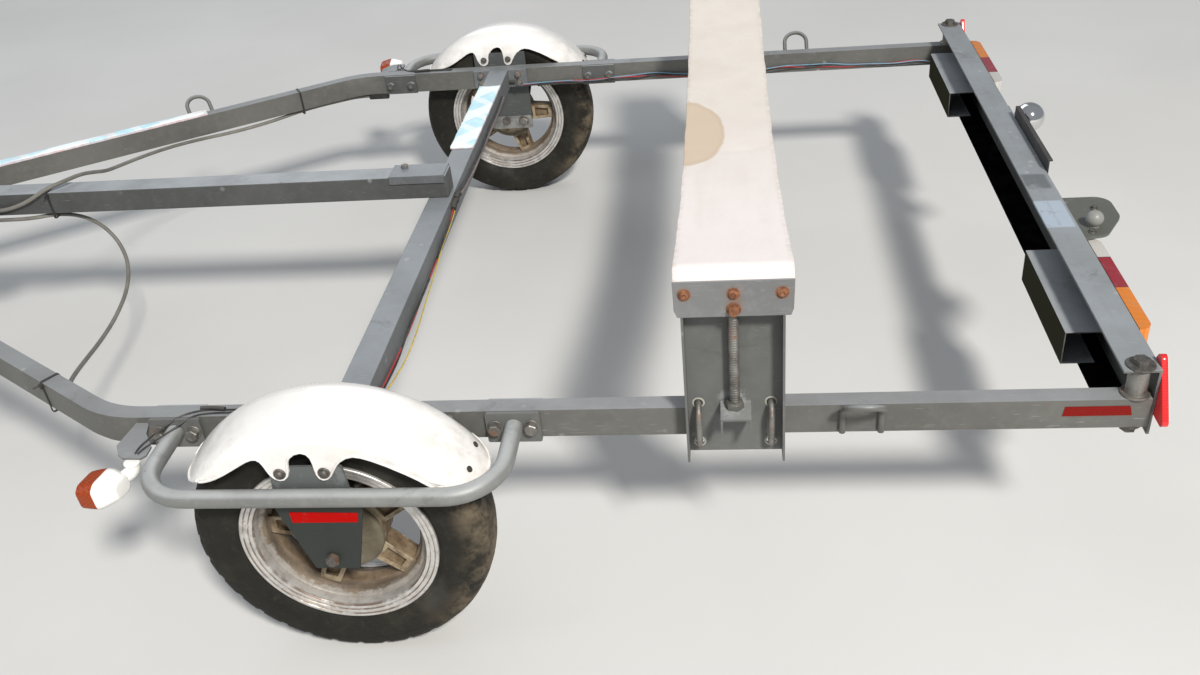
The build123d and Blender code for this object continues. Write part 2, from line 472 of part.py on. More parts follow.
# five recessed spokes; the two wheels stand as they last rolled
def with_spokes(body, base):
    for i in range(5):
        sp = Pos(0, 0, 0) * extrude(Plane(origin=(0, -16, 0), x_dir=(1, 0, 0), z_dir=(0, -1, 0)) * make_face(Polyline((50, -19), (113.4, -15), (113.4, 15), (50, 19), close=True)), -32)
        sp = sp - extrude(Plane(origin=(0, 8, 0), x_dir=(1, 0, 0), z_dir=(0, -1, 0)) * make_face(Polyline((66, -12), (100, -9), (100, 9), (66, 12), close=True)), -20)
        sp = sp - extrude(Plane(origin=(0, -26, 0), x_dir=(1, 0, 0), z_dir=(0, -1, 0)) * make_face(Polyline((66, -12), (100, -9), (100, 9), (66, 12), close=True)), -20)
        body = body + Pos(0, WHEEL_Y, AXLE_Z) * Rot(0, base + 72 * i, 0) * sp
    return body

add("left_rim", with_spokes(rim, 66.2))
add("right_rim", other(with_spokes(rim, 34.8)))

# -------------------------------------------------------------- turn signals
SIG = (310.2, 838.0, 328.8)     # where the lens meets the body
sig_d = Vector(0.989, -0.080, -0.123).normalized()
sig_x = Vector(0.091, 0.993, 0.081)
sig_x = (sig_x - sig_d * sig_x.dot(sig_d)).normalized()
spl = Plane(origin=SIG, x_dir=sig_x, z_dir=sig_d)
sig_body = extrude(spl * RectangleRounded(61.8, 43.6, 12), -29, taper=20)
sig_lens = extrude(spl * RectangleRounded(61.8, 43.6, 12), 27.3, taper=7)
BR_Z = 352.0
neck_to = Vector(*SIG) - sig_d * 15 + Vector(0, -12, 0)
sig_body = sig_body + cyl((280.0, 805.0, BR_Z - 14.0), tuple(neck_to), 10.0) + cyl((280.0, 805.0, BR_Z - 18.0), (280.0, 805.0, BR_Z - 3.0), 10.0)
pair("signal_bodies", sig_body)
pair("signal_lenses", sig_lens)
# flat arm from the rail's outer face out to the signal's stem
arm = poly_z([(291, RAIL_OUT), (311, RAIL_OUT), (317, 772), (305, 793), (295, 801), (268, 802), (262, 795), (263, 775), (284, 745)], BR_Z - 3, BR_Z)
arm = arm + bx(291, 307, RAIL_OUT, RAIL_OUT + 3, 322, BR_Z)
pair("signal_brackets", arm)

# ------------------------------------------------------------------- coupler
coup = bx(2030, 2140, -29, 29, DRAW_Z0 - 4, DRAW_Z1 + 4) - bx(2029, 2120.3, -DRAW_W / 2 - 0.3, DRAW_W / 2 + 0.3, DRAW_Z0 - 0.3, DRAW_Z1 + 0.3)
coup = coup + poly_z([(2120, -29), (2120, 29), (2165, 34), (COUPLER_X, 36), (COUPLER_X, -36), (2165, -34)], 358, 404)
coup = coup + (Pos(COUPLER_X, 0, COUPLER_Z) * Sphere(38)) + cyl((COUPLER_X, 0, 352), (COUPLER_X, 0, COUPLER_Z), 38)
coup = coup & bx(2000, 2300, -60, 60, 352, 420)
coup = coup - Pos(COUPLER_X, 0, COUPLER_Z) * Sphere(BALL_R + 0.6) - cyl((COUPLER_X, 0, 300), (COUPLER_X, 0, COUPLER_Z), BALL_R + 0.6)
for s in (1, -1):
    coup = coup + poly_y([(2142, 404), (2142, 432), (2166, 432), (2172, 404)], 12 * s, 16 * s)
coup = coup - cyl((2154, -20, 422), (2154, 20, 422), 4.3)
add("coupler", coup)
X_TIP = COUPLER_X + 38
handle = bx(2147, 2240, -10.5, 10.5, 430, 436) + bx(2147, 2163, -10.5, 10.5, 414, 431)
handle = handle + cyl((2154, -18, 422), (2154, 18, 422), 4.0)
handle = fillet(handle.edges().filter_by(Axis.Z).sort_by(Axis.X)[-2:], 8)
add("coupler_handle", handle)

# ------------------------------------------------------------- winch and bow
wp = bx(POSTW_X - 22, POSTW_X + 22, -22, 22, DRAW_Z1 + 5, 745) - bx(POSTW_X - 19.5, POSTW_X + 19.5, -19.5, 19.5, DRAW_Z1 + 6, 746)
wp = wp + bx(POSTW_X - 60, POSTW_X + 60, -45, 45, DRAW_Z1, DRAW_Z1 + 5)
wp = wp + poly_y([(POSTW_X + 22, DRAW_Z1 + 5), (POSTW_X + 58, DRAW_Z1 + 5), (POSTW_X + 22, DRAW_Z1 + 60)], -2.5, 2.5)
wp = wp + poly_y([(POSTW_X - 22, DRAW_Z1 + 5), (POSTW_X - 58, DRAW_Z1 + 5), (POSTW_X - 22, DRAW_Z1 + 60)], -2.5, 2.5)
WP_HOLES = [(dx, s * 37.0) for dx in (-48.0, 48.0) for s in (1, -1)]
for dx, yy in WP_HOLES:
    wp = wp - cyl((POSTW_X + dx, yy, DRAW_Z1 - 2), (POSTW_X + dx, yy, DRAW_Z1 + 8), 5.2)
wp = wp + bx(POSTW_X - 110, POSTW_X - 22, -16, -12, 610, 650) + bx(POSTW_X - 110, POSTW_X - 22, 12, 16, 610, 650)
wp = wp + bx(POSTW_X - 22, POSTW_X + 90, -40, 40, 745, 749)
wp = wp + cyl((POSTW_X - 92, -22, 630), (POSTW_X - 92, 22, 630), 6.0) + hexa((POSTW_X - 92, 16, 630), (POSTW_X - 92, 24, 630), 17) + hexa((POSTW_X - 92, -24, 630), (POSTW_X - 92, -16, 630), 17)
add("winch_post", wp)
wpc = bx(POSTW_X - 60, POSTW_X + 60, -45, 45, DRAW_Z0 - 5, DRAW_Z0)
for dx, yy in WP_HOLES:
    q = cyl((POSTW_X + dx, yy, DRAW_Z0 - 18), (POSTW_X + dx, yy, DRAW_Z1 + 8), 5.0)
    q = q + hexa((POSTW_X + dx, yy, DRAW_Z1 + 5), (POSTW_X + dx, yy, DRAW_Z1 + 12), 15)
    q = q + hexa((POSTW_X + dx, yy, DRAW_Z0 - 13), (POSTW_X + dx, yy, DRAW_Z0 - 5), 15)
    wpc = wpc + q
add("winch_post_clamp", wpc)

# Bow stop: a V-shaped rubber block on a pin between the post's two arms.
stop = poly_z([(POSTW_X - 112, 11.5), (POSTW_X - 78, 11.5), (POSTW_X - 78, -11.5), (POSTW_X - 112, -11.5)], 612, 648)
stop = stop + poly_z([(POSTW_X - 112, 11.5), (POSTW_X - 112, 45), (POSTW_X - 150, 70), (POSTW_X - 172, 52), (POSTW_X - 134, 0), (POSTW_X - 172, -52), (POSTW_X - 150, -70), (POSTW_X - 112, -45), (POSTW_X - 112, -11.5)], 596, 664)
stop = stop - cyl((POSTW_X - 92, -20, 630), (POSTW_X - 92, 20, 630), 6.3)
add("bow_stop", stop)
# Hand winch: side cheeks, drum on its shaft, crank through a pinion shaft.
WD = (POSTW_X + 32, 800.0)         # drum axis x, z
WC = (POSTW_X + 74, 832.0)         # crank axis x, z
cheek = [(POSTW_X - 12, 749), (POSTW_X + 84, 749), (POSTW_X + 92, 838), (POSTW_X + 66, 852), (POSTW_X + 8, 838), (POSTW_X - 12, 800)]
wf = poly_y(cheek, -39, -36) + poly_y(cheek, 36, 39) + bx(POSTW_X - 12, POSTW_X + 84, -36, 36, 749, 752)
wf = wf - cyl((WD[0], -50, WD[1]), (WD[0], 50, WD[1]), 6.05) - cyl((WC[0], -50, WC[1]), (WC[0], 50, WC[1]), 6.05)
add("winch_frame", wf)
dr = cyl((WD[0], -44, WD[1]), (WD[0], 41, WD[1]), 6.0)
dr = dr + cyl((WD[0], -28, WD[1]), (WD[0], 22, WD[1]), 15.0)
dr = dr + cyl((WD[0], -30, WD[1]), (WD[0], -28, WD[1]), 36.0) + cyl((WD[0], 22, WD[1]), (WD[0], 24, WD[1]), 36.0)
dr = dr + cyl((WD[0], 26, WD[1]), (WD[0], 33, WD[1]), 40.0) + cyl((WD[0], 24, WD[1]), (WD[0], 26, WD[1]), 14.0)
add("winch_drum", dr)
PINION_R = 12.0             # 12 teeth on the pinion to 40 on the drum gear
cr = cyl((WC[0], -44, WC[1]), (WC[0], 52, WC[1]), 6.0) + cyl((WC[0], 26, WC[1]), (WC[0], 33, WC[1]), PINION_R)
cr = cr + poly_y([(WC[0] - 11, WC[1] + 11), (WC[0] + 11, WC[1] + 11), (WC[0] + 11, WC[1] - 175), (WC[0] - 11, WC[1] - 175)], 46, 51)
cr = cr + cyl((WC[0], 51, WC[1] - 163), (WC[0], 56, WC[1] - 163), 5.0)
cr = fillet(cr.edges().filter_by(Axis.Y).filter_by(lambda e: e.length < 5.2 and e.length > 4.8).sort_by(Axis.Z)[:2], 9)
add("winch_crank", cr)
gr = cyl((WC[0], 56, WC[1] - 163), (WC[0], 146, WC[1] - 163), 14.0)
add("winch_grip", fillet(gr.edges(), 5))

# --------------------------------------------------------------- jockey wheel
jb = bx(JACK_X - 45, JACK_X + 45, -DRAW_W / 2 - 6, -DRAW_W / 2, DRAW_Z0 - 6, DRAW_Z1 + 6)
jb = jb + bx(JACK_X - 22, JACK_X + 22, JACK_Y + 20, -DRAW_W / 2 - 6, 366, 404)
jb = jb + cyl((JACK_X, JACK_Y, 362), (JACK_X, JACK_Y, 408), 31.0)
jb = jb - cyl((JACK_X, JACK_Y, 340), (JACK_X, JACK_Y, 430), 24.3)
add("jack_clamp", jb)
jt = ring((JACK_X, JACK_Y, 285), (JACK_X, JACK_Y, 640), 24.0, 21.2)
jt = jt + cyl((JACK_X, JACK_Y, 640), (JACK_X, JACK_Y, 652), 26.0) + cyl((JACK_X, JACK_Y, 652), (JACK_X, JACK_Y, 668), 9.0)
jt = jt + bx(JACK_X - 9, JACK_X + 118, JACK_Y - 9, JACK_Y + 9, 660, 668)
add("jack_tube", jt)
jg = cyl((JACK_X + 106, JACK_Y, 668), (JACK_X + 106, JACK_Y, 748), 12.0)
add("jack_grip", fillet(jg.edges().sort_by(Axis.Z)[-1:], 6))
leg = ring((JACK_X, JACK_Y, 196), (JACK_X, JACK_Y, 520), 21.0, 17.5) + cyl((JACK_X, JACK_Y, 184), (JACK_X, JACK_Y, 196), 21.0)
add("jack_leg", leg)
JW = (JACK_X - JACK_TRAIL, JACK_Y, JACK_WHEEL_R)
fork = cyl((JACK_X, JACK_Y, 176), (JACK_X, JACK_Y, 183.5), 27.0) + cyl((JACK_X, JACK_Y, 168), (JACK_X, JACK_Y, 176), 12.0)
fork = fork + bx(JACK_X - 52, JACK_X + 30, JACK_Y - 34, JACK_Y + 34, 168, 172)
for s in (1, -1):
    fork = fork + poly_y([(JACK_X + 24, 172), (JACK_X - 50, 172), (JW[0] - 15, JW[2]), (JW[0] - 9, JW[2] - 14), (JW[0] + 9, JW[2] - 14), (JW[0] + 15, JW[2] + 2)], JACK_Y + s * 30, JACK_Y + s * 34)
fork = fork + cyl((JW[0], JACK_Y - 40, JW[2]), (JW[0], JACK_Y + 40, JW[2]), 6.0)
fork = fork + hexa((JW[0], JACK_Y + 34, JW[2]), (JW[0], JACK_Y + 42, JW[2]), 17) + hexa((JW[0], JACK_Y - 42, JW[2]), (JW[0], JACK_Y - 34, JW[2]), 17)
add("jockey_fork", fork)
jw = rev_y([(-26, 6.08), (-26, 14), (-13, 16), (-12, 50), (-20, 54), (20, 54), (12, 50), (13, 16), (26, 14), (26, 6.08)], JW[1], JW[0], JW[2])
add("jockey_wheel_hub", jw)
jy = rev_y([(-20, 54.3), (-22, 62), (-22, 72), (-16, 78.5), (-8, JACK_WHEEL_R), (8, JACK_WHEEL_R), (16, 78.5), (22, 72), (22, 62), (20, 54.3)], JW[1], JW[0], JW[2])
add("jockey_wheel_tyre", jy)

# -------------------------------------------------------------- carpet pads
pad1 = bx(CROSS_X0 - 1, CROSS_X1 + 3, -569, -209, RAIL_TOP + 0.3, RAIL_TOP + 7.3)
add("crossmember_pad", pad1)
pd = []
d0, d1 = 385.0, 1010.0
pp = [(BEND_X + d * cos(a) + w * sin(a), RAIL_MID_Y - d * sin(a) + w * cos(a)) for d, w in ((d0, -13), (d0, 13), (d1, 13), (d1, -13))]
pair("rail_pads", poly_z(pp, RAIL_TOP + 0.3, RAIL_TOP + 7.3))

# ------------------------------------------------------------------- wiring
# A junction box on the drawbar's left side, with two glands facing back, feeds
# one grey cable to each side rail; each ends in a taped splice under its rail.
CABLE_D = 8.0
jbox = fillet(bx(955, 1035, DRAW_W / 2, 62, 343, 403).edges().filter_by(Axis.Y), 5)
for gz in (376.0, 356.0):
    jbox = jbox + cyl((955.5, 33.0, gz), (943, 33.0, gz), 7.5)
add("junction_box", jbox)
spl = fillet(bx(292, 340, 692, 709, 299.5, RAIL_BOT).edges().filter_by(Axis.X).sort_by(Axis.Z)[:2], 6)
pair("cable_splices", spl)

LEFT_ROUTE = [(943, 33, 356), (903, 33, 356), (855, 23, 352), (803, 9, 354.0), (760, -5, 341), (730, -17, 308), (706, -12, 270), (687, 14, 234), (675, 68, 204), (667, 150, 188),
              (655, 242, 190), (632, 342, 210), (596, 440, 240), (548, 530, 272), (500, 600, 296), (454, 645, 308), (410, 673, 309.5), (370, 700.5, 307.5), (340, 700.5, 307.5)]
RIGHT_ROUTE = [(943, 33, 376), (905, 33, 376), (862, 32, 386), (826, 34.5, 402), (797, 29.5, 418), (769, 3, 422), (752, -36, 419.5), (751, -86, 401), (768, -150, 374), (780, -228, 352),
               (771, -305, 337), (743, -382, 325), (697, -450, 314), (634, -508, 305), (562, -564, 304), (494, -617, 309.5), (452, -646, 310), (410, -673, 309.5), (370, -700.5, 307.5), (340, -700.5, 307.5)]


def cable(name, route):
    pts = [Vector(*p) for p in route]
    runs = [q - p for p, q in zip(pts, pts[1:])]
    radii, turns = [], []
    for u, v in zip(runs, runs[1:]):
        turn = u.get_angle(v)
        turns.append(turn)
        radii.append(0.45 * min(u.length, v.length) / tan(radians(turn) / 2))
    path = FilletPolyline(*route, radius=radii)
    tube = sweep(Plane(origin=route[0], z_dir=runs[0].normalized()) * Circle(CABLE_D / 2), path=path)
    add(name, tube)
    print(name, "radii", [round(r) for r in radii], "turns", [round(t) for t in turns], "length", round(path.length, 1),
          "volume / (section x length)", round(tube.volume / (pi * CABLE_D ** 2 / 4 * path.length), 4))


cable("left_cable", LEFT_ROUTE)
cable("right_cable", RIGHT_ROUTE)

# ------------------------------------------------------------------- export
lo = [min(tuple(x.bounding_box().min)[k] for v in NODES.values() for x in v) for k in range(3)]
hi = [max(tuple(x.bounding_box().max)[k] for v in NODES.values() for x in v) for k in range(3)]
print("extremes", [round(v, 3) for v in lo], [round(v, 3) for v in hi])
for name, solids in NODES.items():
    moved = [Pos(SHIFT_X, 0, 0) * s for s in solids]
    shape = moved[0] if len(moved) == 1 else Compound(children=moved)
    export_step(shape, "parts/%s.step" % name)
print("nodes", len(NODES), "belt low", round(BELT_LOW, 1), "shift", SHIFT_X)
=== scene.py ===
import bpy
import bmesh
import math
import random
from mathutils import Vector, Matrix, Euler


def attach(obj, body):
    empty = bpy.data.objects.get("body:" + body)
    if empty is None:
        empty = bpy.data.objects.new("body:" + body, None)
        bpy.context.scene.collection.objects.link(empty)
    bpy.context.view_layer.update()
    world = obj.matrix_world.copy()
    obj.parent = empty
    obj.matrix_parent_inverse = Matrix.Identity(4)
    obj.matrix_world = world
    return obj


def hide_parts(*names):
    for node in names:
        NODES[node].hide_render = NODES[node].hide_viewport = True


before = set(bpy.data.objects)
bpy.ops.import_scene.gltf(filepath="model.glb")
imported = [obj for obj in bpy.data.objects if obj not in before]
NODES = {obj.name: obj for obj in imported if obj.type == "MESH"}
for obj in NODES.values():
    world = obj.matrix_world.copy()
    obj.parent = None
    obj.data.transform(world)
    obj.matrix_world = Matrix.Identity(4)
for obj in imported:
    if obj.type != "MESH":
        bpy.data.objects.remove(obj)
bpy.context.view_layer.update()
scene = bpy.context.scene
rnd = random.Random(7)
SHIFT = 528.0


def L(x, y, z):
    """millimetres from the axle's ground point (x forward, y left, z up) to the row frame in metres"""
    return Vector(((x - SHIFT) / 1000.0, y / 1000.0, z / 1000.0))


# ------------------------------------------------------------------ camera
def camera():
    p, y, r = math.radians(32.8299), math.radians(-8.0067), math.radians(-5.8411)
    fwd = Vector((math.sin(y) * math.cos(p), math.cos(y) * math.cos(p), -math.sin(p)))
    right = Vector((math.cos(y), -math.sin(y), 0.0))
    down = fwd.cross(right)
    c, s = math.cos(r), math.sin(r)
    right, down = right * c - down * s, right * s + down * c
    flip = lambda v: Vector((-v.x, -v.y, v.z))
    right, down, fwd = flip(right), flip(down), flip(fwd)
    cam = bpy.data.cameras.new("camera")
    cam.sensor_width = 36.0
    cam.sensor_fit = "HORIZONTAL"
    cam.lens = 1115.9855 / 1200.0 * 36.0
    cam.clip_start = 0.05
    ob = bpy.data.objects.new("camera", cam)
    m = Matrix.Identity(4)
    for k in range(3):
        m[k][0], m[k][1], m[k][2] = right[k], -down[k], -fwd[k]
    m[0][3], m[1][3], m[2][3] = -1.0864, 1.9547, 1.2852
    ob.matrix_world = m
    scene.collection.objects.link(ob)
    scene.camera = ob


camera()


# --------------------------------------------------------------- materials
class Mat:
    def __init__(self, name):
        self.m = bpy.data.materials.new(name)
        self.m.use_nodes = True
        self.nt = self.m.node_tree
        self.nt.nodes.clear()
        out = self.nt.nodes.new("ShaderNodeOutputMaterial")
        self.b = self.nt.nodes.new("ShaderNodeBsdfPrincipled")
        self.nt.links.new(self.b.outputs[0], out.inputs[0])
        self._co = None
        self._geo = None

    def node(self, kind, **kw):
        n = self.nt.nodes.new(kind)
        for k, v in kw.items():
            setattr(n, k, v)
        return n

    def link(self, a, b):
        self.nt.links.new(a, b)

    def put(self, socket, value):
        if isinstance(value, bpy.types.NodeSocket):
            self.link(value, socket)
        elif isinstance(value, (tuple, list)) and len(value) == 3 and socket.type == "RGBA":
            socket.default_value = (*value, 1.0)
        else:
            socket.default_value = value

    @property
    def co(self):
        if self._co is None:
            self._co = self.node("ShaderNodeTexCoord")
        return self._co.outputs["Object"]

    @property
    def uv(self):
        if self._co is None:
            self._co = self.node("ShaderNodeTexCoord")
        return self._co.outputs["UV"]

    @property
    def normal(self):
        if self._geo is None:
            self._geo = self.node("ShaderNodeNewGeometry")
        return self._geo.outputs["Normal"]

    def mapped(self, scale=(1, 1, 1), rot=(0, 0, 0), loc=(0, 0, 0), src=None):
        n = self.node("ShaderNodeMapping")
        self.link(src if src is not None else self.co, n.inputs["Vector"])
        n.inputs["Scale"].default_value = scale
        n.inputs["Rotation"].default_value = rot
        n.inputs["Location"].default_value = loc
        return n.outputs[0]

    def noise(self, scale, detail=4.0, rough=0.6, vec=None, dist=0.0):
        n = self.node("ShaderNodeTexNoise")
        self.link(vec if vec is not None else self.co, n.inputs["Vector"])
        n.inputs["Scale"].default_value = scale
        n.inputs["Detail"].default_value = detail
        n.inputs["Roughness"].default_value = rough
        n.inputs["Distortion"].default_value = dist
        return n.outputs["Fac"]

    def voronoi(self, scale, feature="F1", vec=None, rand=1.0):
        n = self.node("ShaderNodeTexVoronoi", feature=feature)
        self.link(vec if vec is not None else self.co, n.inputs["Vector"])
        n.inputs["Scale"].default_value = scale
        n.inputs["Randomness"].default_value = rand
        return n.outputs["Distance"]

    def wave(self, scale, direction="X", vec=None, dist=0.0, detail=2.0, profile="SIN", kind="BANDS"):
        n = self.node("ShaderNodeTexWave", wave_type=kind, wave_profile=profile)
        if kind == "BANDS":
            n.bands_direction = direction
        else:
            n.rings_direction = direction
        self.link(vec if vec is not None else self.co, n.inputs["Vector"])
        n.inputs["Scale"].default_value = scale
        n.inputs["Distortion"].default_value = dist
        n.inputs["Detail"].default_value = detail
        return n.outputs["Fac"]

    def ramp(self, fac, stops, interp="LINEAR"):
        n = self.node("ShaderNodeValToRGB")
        n.color_ramp.interpolation = interp
        el = n.color_ramp.elements
        while len(el) < len(stops):
            el.new(0.5)
        for e, (pos, col) in zip(el, stops):
            e.position = pos
            if isinstance(col, (int, float)):
                col = (col, col, col)
            e.color = (*col, 1.0)
        self.link(fac, n.inputs[0])
        return n.outputs["Color"]

    def mix(self, fac, a, b, blend="MIX"):
        n = self.node("ShaderNodeMix", data_type="RGBA", blend_type=blend)
        self.put(n.inputs[0], fac)
        self.put(n.inputs[6], a)
        self.put(n.inputs[7], b)
        return n.outputs[2]

    def math(self, op, a, b=None, clamp=False):
        n = self.node("ShaderNodeMath", operation=op)
        n.use_clamp = clamp
        self.put(n.inputs[0], a)
        if b is not None:
            self.put(n.inputs[1], b)
        return n.outputs[0]

    def sep(self, vec=None):
        n = self.node("ShaderNodeSeparateXYZ")
        self.link(vec if vec is not None else self.co, n.inputs[0])
        return n.outputs

    def band(self, value, a, b, c=None, d=None):
        """0 below a, 1 from b to c, 0 from d"""
        n = self.node("ShaderNodeMapRange")
        n.clamp = True
        n.interpolation_type = "SMOOTHSTEP"
        self.put(n.inputs["Value"], value)
        n.inputs["From Min"].default_value = a
        n.inputs["From Max"].default_value = b
        up = n.outputs[0]
        if c is None:
            return up
        n2 = self.node("ShaderNodeMapRange")
        n2.clamp = True
        n2.interpolation_type = "SMOOTHSTEP"
        self.put(n2.inputs["Value"], value)
        n2.inputs["From Min"].default_value = c
        n2.inputs["From Max"].default_value = d
        n2.inputs["To Min"].default_value = 1.0
        n2.inputs["To Max"].default_value = 0.0
        return self.math("MULTIPLY", up, n2.outputs[0])

    def patch(self, col, centre, half, colour, amount=1.0, soft=0.3, ragged=None, one=False):
        """blends a colour in inside a box given in local millimetres, on both sides of the middle or on one"""
        x, y, z = self.sep(self.co)
        if not one:
            y = self.math("ABSOLUTE", y)
        f = None
        for v, c0, h in zip((x, y, z), (centre[0] - SHIFT, centre[1], centre[2]), half):
            c0, h = c0 / 1000.0, h / 1000.0
            s = h * soft
            b = self.band(v, c0 - h, c0 - h + s, c0 + h - s, c0 + h)
            f = b if f is None else self.math("MULTIPLY", f, b)
        if ragged is not None:
            f = self.math("MULTIPLY", f, self.band(self.noise(ragged[0], 5, 0.7), ragged[1], ragged[2]))
        return self.mix(self.math("MULTIPLY", f, amount), col, colour)

    def bump(self, height, strength=0.2, distance=0.001, normal=None):
        n = self.node("ShaderNodeBump")
        n.inputs["Strength"].default_value = strength
        n.inputs["Distance"].default_value = distance
        self.link(height, n.inputs["Height"])
        if normal is not None:
            self.link(normal, n.inputs["Normal"])
        return n.outputs[0]

    def set(self, **kw):
        names = {"color": "Base Color", "rough": "Roughness", "metal": "Metallic", "normal": "Normal", "coat": "Coat Weight", "coat_rough": "Coat Roughness",
                 "spec": "Specular IOR Level", "trans": "Transmission Weight", "ior": "IOR", "sheen": "Sheen Weight", "emit": "Emission Strength", "emit_color": "Emission Color",
                 "sss": "Subsurface Weight"}
        for k, v in kw.items():
            self.put(self.b.inputs[names[k]], v)
        return self

    # mask of up-facing faces: dust on the black parts, painted light on the paint's tops
    def up_dust_and_light(self, lo=0.55, hi=0.98):
        z = self.sep(self.normal)[2]
        return self.band(z, lo, hi)


def paint(name, base=(0.205, 0.208, 0.205), hi=(0.285, 0.29, 0.288), top=(0.36, 0.375, 0.39), metal=0.15, shade_painted_inside=False, rust=0.0, spots=0.5, patches=(), front=None):
    """weathered grey paint; patches: (centre, half sizes, colour, amount, softness, ragged noise, one side only)"""
    m = Mat(name)
    big = m.noise(4.5, 5, 0.62)
    fine = m.noise(70, 4, 0.6)
    grain = m.noise(900, 2, 0.5)
    col = m.mix(m.band(big, 0.32, 0.68), base, hi)
    col = m.mix(m.math("MULTIPLY", m.band(fine, 0.45, 0.75), 0.35), col, tuple(min(1, c * 1.25) for c in hi))
    # flat tops painted lighter as if lit from above (painted light), broken by noise like weather chalking
    lit_and_chalked_top = m.math("MULTIPLY", m.up_dust_and_light(0.5, 0.95), m.math("ADD", m.math("MULTIPLY", m.band(m.noise(9, 5, 0.6), 0.25, 0.7), 0.35), 0.6))
    col = m.mix(lit_and_chalked_top, col, top)
    # chalky zinc spots and short streaks
    sp = m.voronoi(34, vec=m.mapped((1, 1, 1.0)))
    sp = m.math("MULTIPLY", m.band(sp, 0.22, 0.06), m.band(m.noise(11, 3, 0.5), 0.52, 0.66))
    col = m.mix(m.math("MULTIPLY", sp, spots), col, (0.46, 0.47, 0.465))
    # grime in patches
    grime = m.math("MULTIPLY", m.band(m.noise(16, 6, 0.7, dist=0.6), 0.56, 0.74), 0.45)
    col = m.mix(grime, col, (0.085, 0.08, 0.07))
    # fine scratches along the tubes
    sc = m.noise(60, 2, 0.4, vec=m.mapped((0.6, 14, 14)))
    col = m.mix(m.math("MULTIPLY", m.band(sc, 0.70, 0.74), 0.35), col, (0.48, 0.48, 0.47))
    rough = m.math("ADD", m.math("MULTIPLY", fine, 0.22), 0.42)
    if rust > 0:
        rs = m.math("MULTIPLY", m.band(m.voronoi(70), 0.16, 0.05), m.band(m.noise(21, 4, 0.6), 0.60 - rust * 0.1, 0.68))
        col = m.mix(m.math("MULTIPLY", rs, 0.85), col, (0.21, 0.085, 0.03))
    # the beam channel's inside painted near-black: painted shade, with a little dirt
    if shade_painted_inside:
        x, y, z = m.sep(m.co)
        inside_shade_mask = m.math("MULTIPLY", m.band(x, (-1107.3 - SHIFT) / 1000, (-1106.6 - SHIFT) / 1000), m.band(z, 0.4028, 0.4018))
        dark = m.mix(m.band(m.noise(30, 5, 0.6), 0.4, 0.75), (0.002, 0.002, 0.002), (0.008, 0.008, 0.007))
        col = m.mix(inside_shade_mask, col, dark)
    # faces turned to the front painted dark: painted shade
    if front is not None:
        col = m.mix(m.band(m.sep(m.normal)[0], 0.6, 0.9), col, front)
    for centre, half, colour, amount, soft, ragged, one in patches:
        col = m.patch(col, centre, half, colour, amount, soft, ragged, one)
    n = m.bump(grain, 0.12, 0.0004)
    n = m.bump(m.noise(55, 5, 0.6), 0.12, 0.001, n)
    shade = m.band(m.sep(m.normal)[0], 0.6, 0.9) if front is not None else (inside_shade_mask if shade_painted_inside else None)
    m.set(color=col, rough=rough, metal=metal if shade is None else m.math("MULTIPLY", m.math("SUBTRACT", 1.0, shade), metal), normal=n,
          spec=0.45 if shade is None else m.math("MULTIPLY", m.math("SUBTRACT", 1.0, shade), 0.45))
    return m.m


def zinc(name, base=(0.40, 0.40, 0.39), dark=(0.20, 0.195, 0.185), rust=0.35, rough=0.42):
    m = Mat(name)
    a = m.noise(45, 5, 0.65)
    col = m.mix(m.band(a, 0.35, 0.68), base, dark)
    sp = m.math("MULTIPLY", m.voronoi(210), 0.5)
    col = m.mix(m.math("MULTIPLY", sp, 0.35), col, (0.55, 0.55, 0.54))
    rs = m.band(m.noise(38, 6, 0.7, dist=0.4), 0.62 - 0.12 * rust, 0.72)
    col = m.mix(m.math("MULTIPLY", rs, min(1.0, rust + 0.25)), col, (0.20, 0.085, 0.035))
    r = m.math("ADD", m.math("MULTIPLY", m.noise(90, 4, 0.6), 0.25), rough - 0.1)
    met = m.math("SUBTRACT", 0.85, m.math("MULTIPLY", rs, 0.7))
    n = m.bump(m.noise(160, 4, 0.6), 0.15, 0.0005)
    m.set(color=col, rough=r, metal=met, normal=n)
    return m.m


def rusty(name):
    m = Mat(name)
    a = m.noise(140, 5, 0.7)
    col = m.ramp(a, [(0.25, (0.075, 0.028, 0.014)), (0.5, (0.21, 0.085, 0.04)), (0.72, (0.40, 0.19, 0.10)), (0.9, (0.42, 0.36, 0.30))])
    n = m.bump(m.noise(420, 5, 0.7), 0.5, 0.0006)
    m.set(color=col, rough=0.78, metal=0.15, normal=n)
    return m.m


